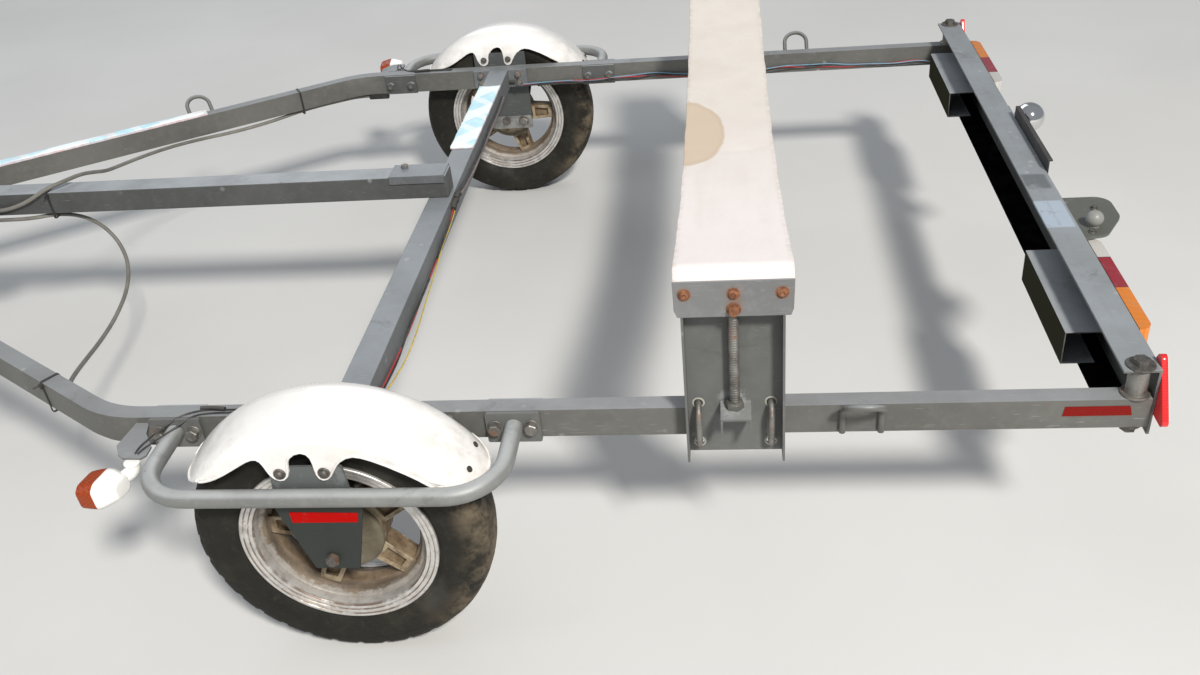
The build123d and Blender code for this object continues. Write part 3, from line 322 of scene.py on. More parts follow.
def alloy(name, cx):
    m = Mat(name)
    x, y, z = m.sep(m.co)
    dx = m.math("SUBTRACT", x, -0.528)
    dz = m.math("SUBTRACT", z, 0.217)
    rad = m.math("SQRT", m.math("ADD", m.math("MULTIPLY", dx, dx), m.math("MULTIPLY", dz, dz)))
    off = m.math("ABSOLUTE", m.math("SUBTRACT", m.math("ABSOLUTE", y), 0.787))
    a = m.noise(28, 6, 0.68)
    clean = m.mix(m.band(m.noise(60, 4, 0.6), 0.4, 0.7), (0.66, 0.645, 0.62), (0.48, 0.465, 0.44))
    rim_dirt_and_shade = m.mix(m.band(m.noise(14, 5, 0.6), 0.35, 0.7), (0.085, 0.062, 0.042), (0.20, 0.155, 0.11))
    ring = m.band(rad, 0.110, 0.1205)
    amount = m.math("SUBTRACT", m.band(a, 0.40, 0.62), m.math("MULTIPLY", ring, 0.80), clamp=True)
    # darker inside the well's radius: dirt plus painted shade
    amount = m.math("ADD", amount, m.math("MULTIPLY", m.band(rad, 0.1165, 0.1085), 0.75), clamp=True)
    # the well's floor and its inner cone darkened: dirt plus painted shade
    well = m.math("MULTIPLY", m.band(off, 0.040, 0.027), m.band(rad, 0.1245, 0.1225))
    amount = m.math("ADD", amount, m.math("MULTIPLY", well, 0.62), clamp=True)
    col = m.mix(amount, clean, rim_dirt_and_shade)
    # thin dark brown lines where the rolled steps meet
    for r0 in (0.1376, 0.1306, 0.1243):
        ln = m.math("MULTIPLY", m.band(rad, r0 - 0.0013, r0 - 0.0004, r0 + 0.0004, r0 + 0.0013), m.band(m.noise(34, 5, 0.7), 0.34, 0.56))
        col = m.mix(m.math("MULTIPLY", ln, 0.8), col, (0.15, 0.085, 0.045))
    pits = m.math("MULTIPLY", m.band(m.voronoi(130), 0.25, 0.08), m.band(m.noise(18, 3, 0.5), 0.5, 0.62))
    col = m.mix(m.math("MULTIPLY", pits, 0.7), col, (0.16, 0.09, 0.05))
    # spokes darkened brown, part wear and part painted shade of the wheel's inside, paler along the edges
    spoke = m.band(rad, 0.1095, 0.1075)
    worn = m.mix(m.band(m.noise(33, 6, 0.7), 0.36, 0.66), (0.255, 0.190, 0.115), (0.109, 0.066, 0.035))
    worn = m.mix(m.math("MULTIPLY", m.band(off, 0.0135, 0.0155), m.band(m.noise(48, 4, 0.6), 0.42, 0.6)), worn, (0.38, 0.31, 0.21))
    col = m.mix(m.math("MULTIPLY", spoke, 0.92), col, worn)
    amount = m.math("ADD", amount, m.math("MULTIPLY", spoke, 0.7), clamp=True)
    met = m.math("SUBTRACT", 0.6, m.math("MULTIPLY", amount, 0.55))
    rough = m.math("ADD", m.math("MULTIPLY", amount, 0.35), 0.36)
    n = m.bump(m.noise(260, 4, 0.6), 0.25, 0.0006)
    m.set(color=col, rough=rough, metal=met, normal=n)
    return m.m


def hubmat(name):
    m = Mat(name)
    a = m.noise(26, 6, 0.7)
    col = m.ramp(a, [(0.3, (0.175, 0.152, 0.107)), (0.55, (0.122, 0.103, 0.068)), (0.75, (0.055, 0.040, 0.027))])
    m.set(color=col, rough=0.7, metal=0.15, normal=m.bump(m.noise(190, 5, 0.65), 0.3, 0.0008))
    return m.m


def rubber_tyre(name):
    m = Mat(name)
    big = m.noise(9, 6, 0.7)
    fine = m.noise(120, 5, 0.7)
    col = m.ramp(big, [(0.3, (0.008, 0.0075, 0.0058)), (0.52, (0.0135, 0.0125, 0.009)), (0.72, (0.030, 0.026, 0.0185))])
    col = m.mix(m.math("MULTIPLY", m.band(fine, 0.5, 0.78), 0.4), col, (0.052, 0.045, 0.033))
    streak = m.noise(40, 3, 0.6, vec=m.mapped((1, 0.15, 1)))
    col = m.mix(m.math("MULTIPLY", m.band(streak, 0.62, 0.75), 0.3), col, (0.08, 0.068, 0.05))
    # dried mud on the rear quarter, heavier towards the shoulder
    x, y, z = m.sep(m.co)
    dx = m.math("SUBTRACT", x, -0.528)
    dz = m.math("SUBTRACT", z, 0.217)
    rad = m.math("SQRT", m.math("ADD", m.math("MULTIPLY", dx, dx), m.math("MULTIPLY", dz, dz)))
    rear = m.band(m.math("MULTIPLY", dx, -1.0), 0.075, 0.175)
    mud = m.math("MULTIPLY", m.math("MULTIPLY", rear, m.band(rad, 0.165, 0.205)), m.band(m.noise(22, 6, 0.72), 0.36, 0.66))
    col = m.mix(m.math("MULTIPLY", mud, 0.85), col, (0.155, 0.122, 0.082))
    side_dust = m.math("MULTIPLY", m.band(rad, 0.188, 0.155), m.band(m.noise(7, 5, 0.65), 0.5, 0.68))
    col = m.mix(m.math("MULTIPLY", side_dust, 0.45), col, (0.085, 0.08, 0.068))
    m.set(color=col, rough=m.math("ADD", m.math("MULTIPLY", fine, 0.2), 0.62), spec=0.3,
          normal=m.bump(m.noise(500, 4, 0.7), 0.25, 0.0005, m.bump(m.noise(70, 5, 0.7), 0.2, 0.001)))
    return m.m


def gloss(name, base, other, rough=0.22, specks=0.3, speck_col=(0.25, 0.20, 0.14), coat=0.25, low=None):
    m = Mat(name)
    a = m.noise(5, 4, 0.55)
    col = m.mix(m.band(a, 0.3, 0.72), base, other)
    sp = m.math("MULTIPLY", m.band(m.voronoi(95), 0.13, 0.05), m.band(m.noise(13, 4, 0.6), 0.50, 0.66))
    col = m.mix(m.math("MULTIPLY", sp, specks), col, speck_col)
    haze = m.band(m.noise(22, 6, 0.7), 0.55, 0.8)
    col = m.mix(m.math("MULTIPLY", haze, 0.16), col, speck_col)
    if low is not None:
        z = m.sep(m.co)[2]
        f = m.math("MULTIPLY", m.band(z, low[1], low[0]), m.band(m.noise(35, 5, 0.7), 0.35, 0.7))
        col = m.mix(m.math("MULTIPLY", f, 0.28), col, speck_col)
    m.set(color=col, rough=m.math("ADD", m.math("MULTIPLY", haze, 0.25), rough), coat=coat, coat_rough=0.12,
          normal=m.bump(m.noise(14, 3, 0.5), 0.05, 0.002, m.bump(m.noise(300, 3, 0.6), 0.05, 0.0003)))
    return m.m


def black(name, base=(0.016, 0.016, 0.016), other=(0.045, 0.043, 0.040), rough=0.5, dusty=0.4):
    m = Mat(name)
    a = m.noise(24, 6, 0.65)
    col = m.mix(m.band(a, 0.35, 0.75), base, other)
    col = m.mix(m.math("MULTIPLY", m.up_dust_and_light(0.3, 0.95), dusty), col, (0.13, 0.12, 0.105))
    m.set(color=col, rough=m.math("ADD", m.math("MULTIPLY", m.noise(80, 4), 0.2), rough), spec=0.4,
          normal=m.bump(m.noise(350, 4, 0.6), 0.2, 0.0004))
    return m.m


def lens_mat(name):
    """one moulded lens: clear inboard, red in the middle, amber outboard, with fine upright ribs"""
    m = Mat(name)
    x, y, z = m.sep(m.co)
    ay = m.math("ABSOLUTE", y)
    col = m.mix(m.band(ay, 0.4035, 0.4045), (0.62, 0.60, 0.56), (0.31, 0.008, 0.022))
    col = m.mix(m.band(ay, 0.4935, 0.4945), col, (0.74, 0.22, 0.012))
    w = m.wave(95, "Y", dist=0.0)
    w2 = m.wave(95, "Z", dist=0.0)
    ribs = m.math("MULTIPLY", w, w2)
    col = m.mix(m.math("MULTIPLY", ribs, 0.35), col, (0.06, 0.02, 0.015), "MULTIPLY")
    seam = m.math("ADD", m.band(ay, 0.4030, 0.4036, 0.4044, 0.4050), m.band(ay, 0.4930, 0.4936, 0.4944, 0.4950), clamp=True)
    col = m.mix(seam, col, (0.02, 0.015, 0.012))
    dust = m.math("MULTIPLY", m.band(m.noise(40, 5, 0.7), 0.5, 0.8), 0.25)
    col = m.mix(dust, col, (0.35, 0.30, 0.25))
    m.set(color=col, rough=0.16, coat=0.5, coat_rough=0.06, normal=m.bump(ribs, 0.5, 0.0012))
    return m.m


def orange_mat(name, base, deep):
    m = Mat(name)
    w = m.wave(110, "Z")
    w2 = m.wave(110, "DIAGONAL")
    ribs = m.math("MULTIPLY", w, w2)
    col = m.mix(m.math("MULTIPLY", ribs, 0.7), base, deep)
    col = m.mix(m.math("MULTIPLY", m.band(m.noise(60, 5, 0.7), 0.5, 0.8), 0.2), col, (0.28, 0.13, 0.06))
    m.set(color=col, rough=0.35, coat=0.08, spec=0.25, coat_rough=0.08, normal=m.bump(ribs, 0.5, 0.001))
    return m.m


def reflector(name, base=(0.55, 0.008, 0.012), bright=(0.9, 0.03, 0.03), cell=520, rough=0.22, coat=0.35, spec=0.5):
    m = Mat(name)
    v = m.voronoi(cell, "DISTANCE_TO_EDGE", rand=0.0)
    col = m.mix(m.band(v, 0.02, 0.16), base, bright)
    col = m.mix(m.math("MULTIPLY", m.band(m.noise(70, 5, 0.7), 0.55, 0.8), 0.35), col, (0.25, 0.12, 0.10))
    m.set(color=col, rough=rough, coat=coat, coat_rough=0.1, spec=spec, normal=m.bump(v, 0.35, 0.0006))
    return m.m


def chrome(name):
    m = Mat(name)
    a = m.noise(26, 5, 0.65)
    col = m.mix(m.band(a, 0.45, 0.75), (0.72, 0.72, 0.72), (0.42, 0.36, 0.31))
    rs = m.math("MULTIPLY", m.band(m.voronoi(260), 0.18, 0.08), m.band(m.noise(40, 4, 0.6), 0.52, 0.66))
    col = m.mix(rs, col, (0.20, 0.09, 0.04))
    m.set(color=col, metal=m.math("SUBTRACT", 1.0, m.math("MULTIPLY", rs, 0.8)), rough=m.math("ADD", m.math("MULTIPLY", a, 0.18), 0.03),
          normal=m.bump(m.noise(200, 4, 0.6), 0.08, 0.0004))
    return m.m


def webbing(name):
    """woven belt: fine cross ribs and warp lines, sun-bleached, with one dried tide mark"""
    m = Mat(name)
    u, v, _ = m.sep(m.uv)            # u along in metres, v across in metres
    x, y, z = m.sep(m.co)
    ribs = m.wave(150, "X", vec=m.uv, dist=0.25, detail=1.0)
    warp = m.wave(210, "Y", vec=m.uv, dist=0.35, detail=1.0)
    weave = m.math("ADD", m.math("MULTIPLY", ribs, 0.65), m.math("MULTIPLY", warp, 0.35))
    big = m.noise(5.5, 5, 0.6)
    col = m.ramp(big, [(0.30, (0.66, 0.60, 0.535)), (0.52, (0.74, 0.69, 0.635)), (0.75, (0.70, 0.625, 0.58))])
    # pinker and whiter near the left end, creamier to the right
    near = m.band(y, -0.1, 0.55)
    col = m.mix(m.math("MULTIPLY", near, 0.75), col, (0.86, 0.80, 0.80))
    col = m.mix(m.math("MULTIPLY", m.band(weave, 0.55, 0.25), 0.22), col, (0.46, 0.38, 0.31))
    bands = m.noise(26, 3, 0.5, vec=m.mapped((0.12, 1.0, 1.0), src=m.uv))
    longm = m.noise(18, 4, 0.6, vec=m.mapped((1.0, 0.10, 1.0), src=m.co))
    col = m.mix(m.math("MULTIPLY", m.band(longm, 0.5, 0.75), 0.22), col, (0.56, 0.49, 0.43))
    # dirty selvedges
    edge = m.math("ADD", m.band(v, 0.010, 0.0), m.band(v, 0.143, 0.153), clamp=True)
    col = m.mix(m.math("MULTIPLY", edge, m.math("MULTIPLY", m.band(m.noise(60, 5, 0.7), 0.35, 0.7), 0.45)), col, (0.40, 0.33, 0.26))
    # the tide mark, half round, from the front edge
    cx, cy = (-489.0 - SHIFT) / 1000, 0.098
    wob = m.math("MULTIPLY", m.math("SUBTRACT", m.noise(16, 4, 0.6), 0.5), 0.035)
    ex = m.math("DIVIDE", m.math("SUBTRACT", x, cx), 0.066)
    ey = m.math("DIVIDE", m.math("SUBTRACT", y, cy), 0.152)
    rr = m.math("ADD", m.math("SQRT", m.math("ADD", m.math("MULTIPLY", ex, ex), m.math("MULTIPLY", ey, ey))), m.math("MULTIPLY", wob, 4.0))
    stain = m.band(rr, 1.02, 0.95)
    rim = m.band(rr, 0.86, 0.96, 0.98, 1.04)
    upper = m.band(z, 0.47, 0.48)
    stain = m.math("MULTIPLY", stain, m.math("MULTIPLY", upper, 0.85))
    col = m.mix(stain, col, (0.585, 0.455, 0.325))
    col = m.mix(m.math("MULTIPLY", rim, 0.35), col, (0.50, 0.38, 0.26))
    specks = m.math("MULTIPLY", m.band(m.voronoi(26), 0.035, 0.02), 0.8)
    col = m.mix(specks, col, (0.30, 0.22, 0.16))
    n = m.bump(weave, 0.55, 0.0009)
    n = m.bump(m.noise(14, 4, 0.6), 0.25, 0.003, n)
    m.set(color=col, rough=0.88, sheen=0.15, normal=n, spec=0.2)
    return m.m


def strip_cloth(name):
    """pale patterned cloth over a thin strip of board: small pale-blue and pink lozenges, worn to white"""
    m = Mat(name)
    x, y, z = m.sep(m.co)
    # wide slanting bands, pale blue on white, broken by a finer hatching
    wide = m.wave(3.6, "X", vec=m.mapped((1, 1, 1), rot=(0, 0, math.radians(38))), dist=1.2, detail=2.0)
    wide2 = m.wave(5.2, "X", vec=m.mapped((1, 1, 1), rot=(0, 0, math.radians(-47)), loc=(0.13, 0.02, 0)), dist=0.9, detail=2.0)
    hatch = m.wave(34, "X", vec=m.mapped((1, 1, 1), rot=(0, 0, math.radians(38))), dist=0.5, detail=1.0)
    blue = m.mix(m.band(m.noise(40, 4, 0.6), 0.35, 0.7), (0.36, 0.70, 0.85), (0.54, 0.85, 0.95))
    pink = m.mix(m.band(m.noise(36, 4, 0.6), 0.35, 0.7), (0.74, 0.50, 0.50), (0.82, 0.70, 0.70))
    col = m.mix(m.math("MULTIPLY", m.band(wide, 0.30, 0.55), 0.80), (0.84, 0.94, 0.96), blue)
    col = m.mix(m.math("MULTIPLY", m.band(wide2, 0.72, 0.86), 0.65), col, (0.88, 0.91, 0.92))
    col = m.mix(m.math("MULTIPLY", m.band(hatch, 0.6, 0.85), 0.22), col, (0.88, 0.90, 0.90))
    col = m.mix(m.math("MULTIPLY", m.band(m.noise(13, 3, 0.5), 0.58, 0.70), 0.40), col, pink)
    # the cloth's folded edges are pinker
    side = m.band(m.sep(m.normal)[2], 0.70, 0.25)
    col = m.mix(m.math("MULTIPLY", side, 0.75), col, m.mix(m.band(m.noise(55, 4, 0.6), 0.4, 0.65), (0.62, 0.52, 0.55), (0.58, 0.30, 0.31)))
    lines = m.voronoi(240, "DISTANCE_TO_EDGE", rand=0.15)
    col = m.mix(m.math("MULTIPLY", m.band(lines, 0.08, 0.0), 0.14), col, (0.50, 0.52, 0.52))
    col = m.mix(m.math("MULTIPLY", m.band(m.noise(90, 5, 0.7), 0.66, 0.82), 0.40), col, (0.33, 0.27, 0.21))
    m.set(color=col, rough=0.85, sheen=0.1, normal=m.bump(lines, 0.3, 0.0006, m.bump(m.noise(60, 5, 0.7), 0.35, 0.0015)))
    return m.m


def sheath(name, base=(0.135, 0.130, 0.115), other=(0.215, 0.205, 0.18)):
    m = Mat(name)
    col = m.mix(m.band(m.noise(18, 5, 0.6), 0.35, 0.7), base, other)
    col = m.mix(m.math("MULTIPLY", m.band(m.noise(150, 4, 0.6), 0.55, 0.8), 0.4), col, (0.28, 0.24, 0.18))
    m.set(color=col, rough=0.55, normal=m.bump(m.noise(260, 4, 0.6), 0.2, 0.0004))
    return m.m


def flat_wire(name, base):
    m = Mat(name)
    col = m.mix(m.band(m.noise(60, 4, 0.6), 0.35, 0.75), base, tuple(0.55 * c + 0.05 for c in base))
    m.set(color=col, rough=0.42, normal=m.bump(m.noise(300, 3, 0.6), 0.1, 0.0003))
    return m.m


MAT = {
    "frame_paint": paint("grey_frame_paint", base=(0.070, 0.073, 0.070), hi=(0.103, 0.106, 0.104), top=(0.39, 0.415, 0.437)),
    "cross_paint": paint("grey_crossmember_paint", base=(0.115, 0.122, 0.128), hi=(0.165, 0.174, 0.182), top=(0.265, 0.285, 0.305)),
    "rail_paint": paint("grey_rail_paint", base=(0.103, 0.103, 0.094), hi=(0.144, 0.143, 0.131), top=(0.275, 0.285, 0.295), rust=0.4),
    "beam_paint": paint("grey_beam_paint", base=(0.125, 0.13, 0.127), hi=(0.17, 0.176, 0.172), top=(0.29, 0.313, 0.336), shade_painted_inside=True, rust=0.3,
                        patches=[((-1084, 272, 406), (24, 50, 6), (0.40, 0.47, 0.55), 0.85, 0.12, (38, 0.30, 0.46), True),
                                 # the second patch is a painted shadow on the beam's top
                                 ((-1084, 150, 406), (24, 34, 6), (0.10, 0.112, 0.118), 0.75, 0.3, (20, 0.34, 0.5), True),
                                 ((-1084, 110, 406), (3, 900, 6), (0.20, 0.21, 0.22), 0.25, 0.6, (30, 0.4, 0.6), True)]),
    "post_paint": paint("grey_post_paint", base=(0.101, 0.105, 0.099), hi=(0.135, 0.14, 0.134), top=(0.26, 0.265, 0.26), spots=0.3, rust=0.2,
                        patches=[((-560.5, 738, 374), (27, 30, 22), (0.36, 0.375, 0.375), 0.8, 0.55, (46, 0.44, 0.60), False),
                                 ((-560.5, 748, 540), (68, 6, 30), (0.235, 0.15, 0.09), 0.5, 0.5, (40, 0.55, 0.68), False)]),
    "end_plate_paint": paint("grey_end_plate_paint", base=(0.165, 0.168, 0.17), hi=(0.215, 0.22, 0.222), top=(0.26, 0.27, 0.28), spots=0.25,
                             patches=[((-500, 748, 560), (15, 4, 15), (0.27, 0.135, 0.06), 0.55, 0.85, (60, 0.36, 0.58), False),
                                      ((-562, 748, 552), (18, 4, 28), (0.27, 0.135, 0.06), 0.55, 0.85, (60, 0.36, 0.58), False),
                                      ((-623, 748, 560), (15, 4, 15), (0.27, 0.135, 0.06), 0.55, 0.85, (60, 0.36, 0.58), False)]),
    "guard_paint": paint("silver_guard_paint", base=(0.188, 0.192, 0.186), hi=(0.245, 0.25, 0.243), top=(0.44, 0.455, 0.455), metal=0.25, rust=0.5,
                         patches=[((0, 860, 262), (72, 3.5, 80), (0.015, 0.021, 0.017), 0.93, 0.02, (12, 0.0, 0.1), False),
                                  ((0, 860, 366), (72, 3.5, 24), (0.115, 0.127, 0.125), 0.93, 0.02, (12, 0.0, 0.1), False),
                                  ((0, 860, 366), (72, 3.5, 24), (0.24, 0.255, 0.255), 0.5, 0.1, (38, 0.5, 0.62), False),
                                  ((0, 723, 336), (300, 3.6, 26), (0.135, 0.138, 0.134), 0.9, 0.02, (12, 0.0, 0.1), False)]),
    "plate_paint": paint("slate_plate_paint", base=(0.052, 0.057, 0.056), hi=(0.08, 0.087, 0.086), top=(0.16, 0.17, 0.175), rust=0.4),
    # the covers' front faces painted near-black as painted shade
    "cover_paint": paint("grey_cover_paint", base=(0.095, 0.098, 0.092), hi=(0.135, 0.139, 0.132), top=(0.34, 0.363, 0.386), spots=0.2, front=(0.036, 0.036, 0.024)),
    "tab_paint": paint("olive_tab_paint", base=(0.085, 0.09, 0.078), hi=(0.12, 0.126, 0.11), top=(0.105, 0.112, 0.096), spots=0.35, rust=0.5),
    "zinc_steel": zinc("dull_zinc"),
    "zinc_old": zinc("old_zinc", base=(0.27, 0.26, 0.24), dark=(0.13, 0.12, 0.105), rust=0.7, rough=0.55),
    "jack_zinc": zinc("galvanised", base=(0.46, 0.47, 0.47), dark=(0.28, 0.285, 0.285), rust=0.1, rough=0.4),
    "rust": rusty("rusted_steel"),
    "rim_alloy": alloy("cast_alloy", 0),
    "hub": hubmat("hub_casting"),
    "tyre_rubber": rubber_tyre("worn_tyre_rubber"),
    "fender_white": gloss("white_fender", (0.84, 0.815, 0.785), (0.88, 0.86, 0.84), rough=0.2, specks=0.35, low=(0.36, 0.46)),
    "lamp_black": black("lamp_housing_black"),
    "lamp_lens": lens_mat("tail_lamp_lens"),
    "signal_white": gloss("signal_white", (0.82, 0.81, 0.78), (0.86, 0.85, 0.83), rough=0.25, specks=0.2),
    "signal_orange": orange_mat("orange_lens", (0.34, 0.046, 0.003), (0.19, 0.022, 0.003)),
    "reflector_red": reflector("triangle_reflector_red"),
    "strip_red": reflector("reflecting_strip_red", (0.42, 0.003, 0.002), (0.56, 0.007, 0.005), cell=330, rough=0.45, coat=0.0, spec=0.05),
    "chrome": chrome("chrome_lamp_shell"),
    "sling_webbing": webbing("woven_belt"),
    "carpet": strip_cloth("patterned_strip_cloth"),
    "black_rubber": black("black_rubber", rough=0.65),
    "black_plastic": black("black_plastic", rough=0.42, dusty=0.25),
    "knob_grey": gloss("pale_knob", (0.20, 0.20, 0.185), (0.27, 0.27, 0.25), rough=0.45, coat=0.05),
    "chipped": flat_wire("pale_chipped_paint", (0.42, 0.41, 0.36)),
    "strip_dull": reflector("reflecting_strip_dull", (0.14, 0.004, 0.003), (0.23, 0.012, 0.009), cell=330, rough=0.5, coat=0.0, spec=0.1),
    "old_bolt": zinc("dark_old_zinc", base=(0.16, 0.15, 0.135), dark=(0.075, 0.066, 0.056), rust=0.8, rough=0.6),
    "reflector_rim": gloss("reflector_rim_white", (0.62, 0.60, 0.56), (0.70, 0.68, 0.64), rough=0.35, coat=0.1),
    "cable_grey": sheath("grey_cable_sheath"),
    "wire_red": flat_wire("wire_red", (0.45, 0.02, 0.02)),
    "wire_yellow": flat_wire("wire_yellow", (0.62, 0.45, 0.04)),
    "wire_blue": flat_wire("wire_blue", (0.16, 0.30, 0.42)),
    "wire_pale": flat_wire("wire_pale", (0.34, 0.25, 0.24)),
    "wire_black": flat_wire("wire_black", (0.02, 0.02, 0.02)),
    "board": flat_wire("raw_board", (0.34, 0.24, 0.15)),
}


def dress(node, key):
    """gives a CAD node its material"""
    if node not in NODES:
        return None
    o = NODES[node]
    if not o.material_slots:
        o.data.materials.append(MAT[key])
    for s in o.material_slots:
        s.material = MAT[key]
    return o


def soften(node, width, angle=38, segments=2):
    if node not in NODES:
        return
    o = NODES[node]
    w = o.modifiers.new("weld", "WELD")
    w.merge_threshold = 0.00002
    b = o.modifiers.new("round", "BEVEL")
    b.width = width
    b.segments = segments
    b.limit_method = "ANGLE"
    b.angle_limit = math.radians(angle)
    b.harden_normals = True
    b.miter_outer = "MITER_ARC"
    b.use_clamp_overlap = True


# ---------------------------------------------------------- mesh helpers
def link(name, mesh, mat, body="chassis", angle=35.0):
    o = bpy.data.objects.new(name, mesh)
    scene.collection.objects.link(o)
    if mat is not None:
        mesh.materials.append(MAT[mat])
    mesh.shade_smooth()
    mesh.set_sharp_from_angle(angle=math.radians(angle))
    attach(o, body)
    return o


def basis(axis):
    a = Vector(axis).normalized()
    t = Vector((0, 0, 1)) if abs(a.z) < 0.9 else Vector((1, 0, 0))
    u = t.cross(a).normalized()
    return a, u, a.cross(u)


class Build:
    """collects many small shapes in one mesh; lengths in millimetres in the local frame"""

    def __init__(self):
        self.bm = bmesh.new()

    def lathe(self, centre, axis, profile, seg=24, phase=0.0, closed=True):
        """profile: (distance along the axis, radius) pairs"""
        a, u, v = basis(axis)
        c = Vector(centre)
        rings = []
        for h, r in profile:
            if r < 1e-6:
                rings.append([self.bm.verts.new(L(*(c + a * h)))])
                continue
            rings.append([self.bm.verts.new(L(*(c + a * h + (u * math.cos(t) + v * math.sin(t)) * r))) for t in [phase + 2 * math.pi * k / seg for k in range(seg)]])
        for r0, r1 in zip(rings, rings[1:]):
            for k in range(seg):
                k2 = (k + 1) % seg
                if len(r0) == 1 and len(r1) == 1:
                    continue
                if len(r0) == 1:
                    self.bm.faces.new((r0[0], r1[k], r1[k2]))
                elif len(r1) == 1:
                    self.bm.faces.new((r0[k], r1[0], r0[k2]))
                else:
                    self.bm.faces.new((r0[k], r1[k], r1[k2], r0[k2]))

    def hexhead(self, centre, axis, across, height, phase=0.0, dome=0.12):
        """a chamfered hexagon head or nut on its seat"""
        a, u, v = basis(axis)
        c = Vector(centre)
        R = across / 2 / math.cos(math.pi / 6)
        rows = [(0.0, 1.0), (height * (1 - dome), 1.0)]
        rings = []
        for h, k in rows:
            rings.append([self.bm.verts.new(L(*(c + a * h + (u * math.cos(t) + v * math.sin(t)) * R * k))) for t in [phase + math.pi / 3 * i for i in range(6)]])
        seg = 24
        # chamfer circle
        top = [self.bm.verts.new(L(*(c + a * height + (u * math.cos(t) + v * math.sin(t)) * across * 0.46))) for t in [phase + 2 * math.pi * i / seg for i in range(seg)]]
        centre_top = self.bm.verts.new(L(*(c + a * height)))
        for i in range(6):
            j = (i + 1) % 6
            self.bm.faces.new((rings[0][i], rings[1][i], rings[1][j], rings[0][j]))
            arc = [top[(4 * i + k) % seg] for k in range(5)]
            self.bm.faces.new([rings[1][i]] + arc + [rings[1][j]])
        for k in range(seg):
            self.bm.faces.new((top[k], centre_top, top[(k + 1) % seg]))

    def washer(self, centre, axis, r, t=1.6):
        self.lathe(centre, axis, [(0, r), (t * 0.7, r), (t, r - 0.5), (t, r * 0.3)], 28)

    def bolt(self, centre, axis, across, height, washer=None, phase=0.0, stud=0.0):
        c = Vector(centre)
        a = Vector(axis).normalized()
        if washer:
            self.washer(c, a, washer, 1.8)
            c = c + a * 1.8
        self.hexhead(c, a, across, height, phase)
        if stud:
            self.lathe(c + a * height, a, [(0, across * 0.27), (stud * 0.85, across * 0.27), (stud, across * 0.22), (stud, 0)], 20)

    def tube(self, pts, r, seg=10, closed=False, sides=None):
        """a round bar through points in local millimetres"""
        pts = [Vector(p) for p in pts]
        n = len(pts)
        rings = []
        prev_u = None
        for i, p in enumerate(pts):
            if closed:
                d = (pts[(i + 1) % n] - pts[i - 1]).normalized()
            else:
                d = (pts[min(i + 1, n - 1)] - pts[max(i - 1, 0)]).normalized()
            if prev_u is None:
                _, u, _ = basis(d)
            else:
                u = (prev_u - d * prev_u.dot(d)).normalized()
            prev_u = u
            v = d.cross(u)
            rings.append([self.bm.verts.new(L(*(p + (u * math.cos(t) + v * math.sin(t)) * r))) for t in [2 * math.pi * k / seg for k in range(seg)]])
        pairs = list(zip(rings, rings[1:]))
        if closed:
            pairs.append((rings[-1], rings[0]))
        for r0, r1 in pairs:
            for k in range(seg):
                k2 = (k + 1) % seg
                self.bm.faces.new((r0[k], r1[k], r1[k2], r0[k2]))
        if not closed:
            self.bm.faces.new(list(reversed(rings[0])))
            self.bm.faces.new(rings[-1])

    def strap(self, pts, normals, width_dir, width, thick, closed=True):
        """a flat band through points, with its outward direction at each"""
        w = Vector(width_dir).normalized() * (width / 2)
        rows = []
        for p, nrm in zip(pts, normals):
            p, nrm = Vector(p), Vector(nrm).normalized()
            rows.append([self.bm.verts.new(L(*q)) for q in (p - w, p - w + nrm * thick, p + w + nrm * thick, p + w)])
        n = len(rows)
        rng = range(n if closed else n - 1)
        for i in rng:
            a, b = rows[i], rows[(i + 1) % n]
            for k in range(4):
                k2 = (k + 1) % 4
                self.bm.faces.new((a[k], a[k2], b[k2], b[k]))
        if not closed:
            self.bm.faces.new(rows[0])
            self.bm.faces.new(list(reversed(rows[-1])))

    def box(self, x0, x1, y0, y1, z0, z1, r=0.0, frame_=None):
        v = []
        for x in (x0, x1):
            for y in (y0, y1):
                for z in (z0, z1):
                    p = Vector((x, y, z))
                    if frame_ is not None:
                        p = frame_ @ p
                    v.append(self.bm.verts.new(L(*p)))
        f = [(0, 1, 3, 2), (4, 6, 7, 5), (0, 4, 5, 1), (2, 3, 7, 6), (0, 2, 6, 4), (1, 5, 7, 3)]
        faces = [self.bm.faces.new([v[i] for i in q]) for q in f]
        if r > 0:
            edges = list({e for q in faces for e in q.edges})
            bmesh.ops.bevel(self.bm, geom=edges, offset=r / 1000.0, segments=2, profile=0.5, affect="EDGES", clamp_overlap=True)

    def prism(self, pts, off, r=0.0):
        """closed outline of 3-d points, thickened by the vector off"""
        a = [self.bm.verts.new(L(*p)) for p in pts]
        b = [self.bm.verts.new(L(*(Vector(p) + Vector(off)))) for p in pts]
        n = len(pts)
        faces = [self.bm.faces.new(list(reversed(a))), self.bm.faces.new(b)]
        for i in range(n):
            j = (i + 1) % n
            faces.append(self.bm.faces.new((a[i], a[j], b[j], b[i])))
        if r > 0:
            edges = list({e for q in faces[:2] for e in q.edges})
            bmesh.ops.bevel(self.bm, geom=edges, offset=r / 1000.0, segments=2, profile=0.5, affect="EDGES", clamp_overlap=True)

    def done(self, name, mat, body="chassis", angle=35.0):
        bmesh.ops.recalc_face_normals(self.bm, faces=self.bm.faces[:])
        me = bpy.data.meshes.new(name)
        self.bm.to_mesh(me)
        self.bm.free()
        return link(name, me, mat, body, angle)


def mirror_y(p):
    return (p[0], -p[1], p[2])


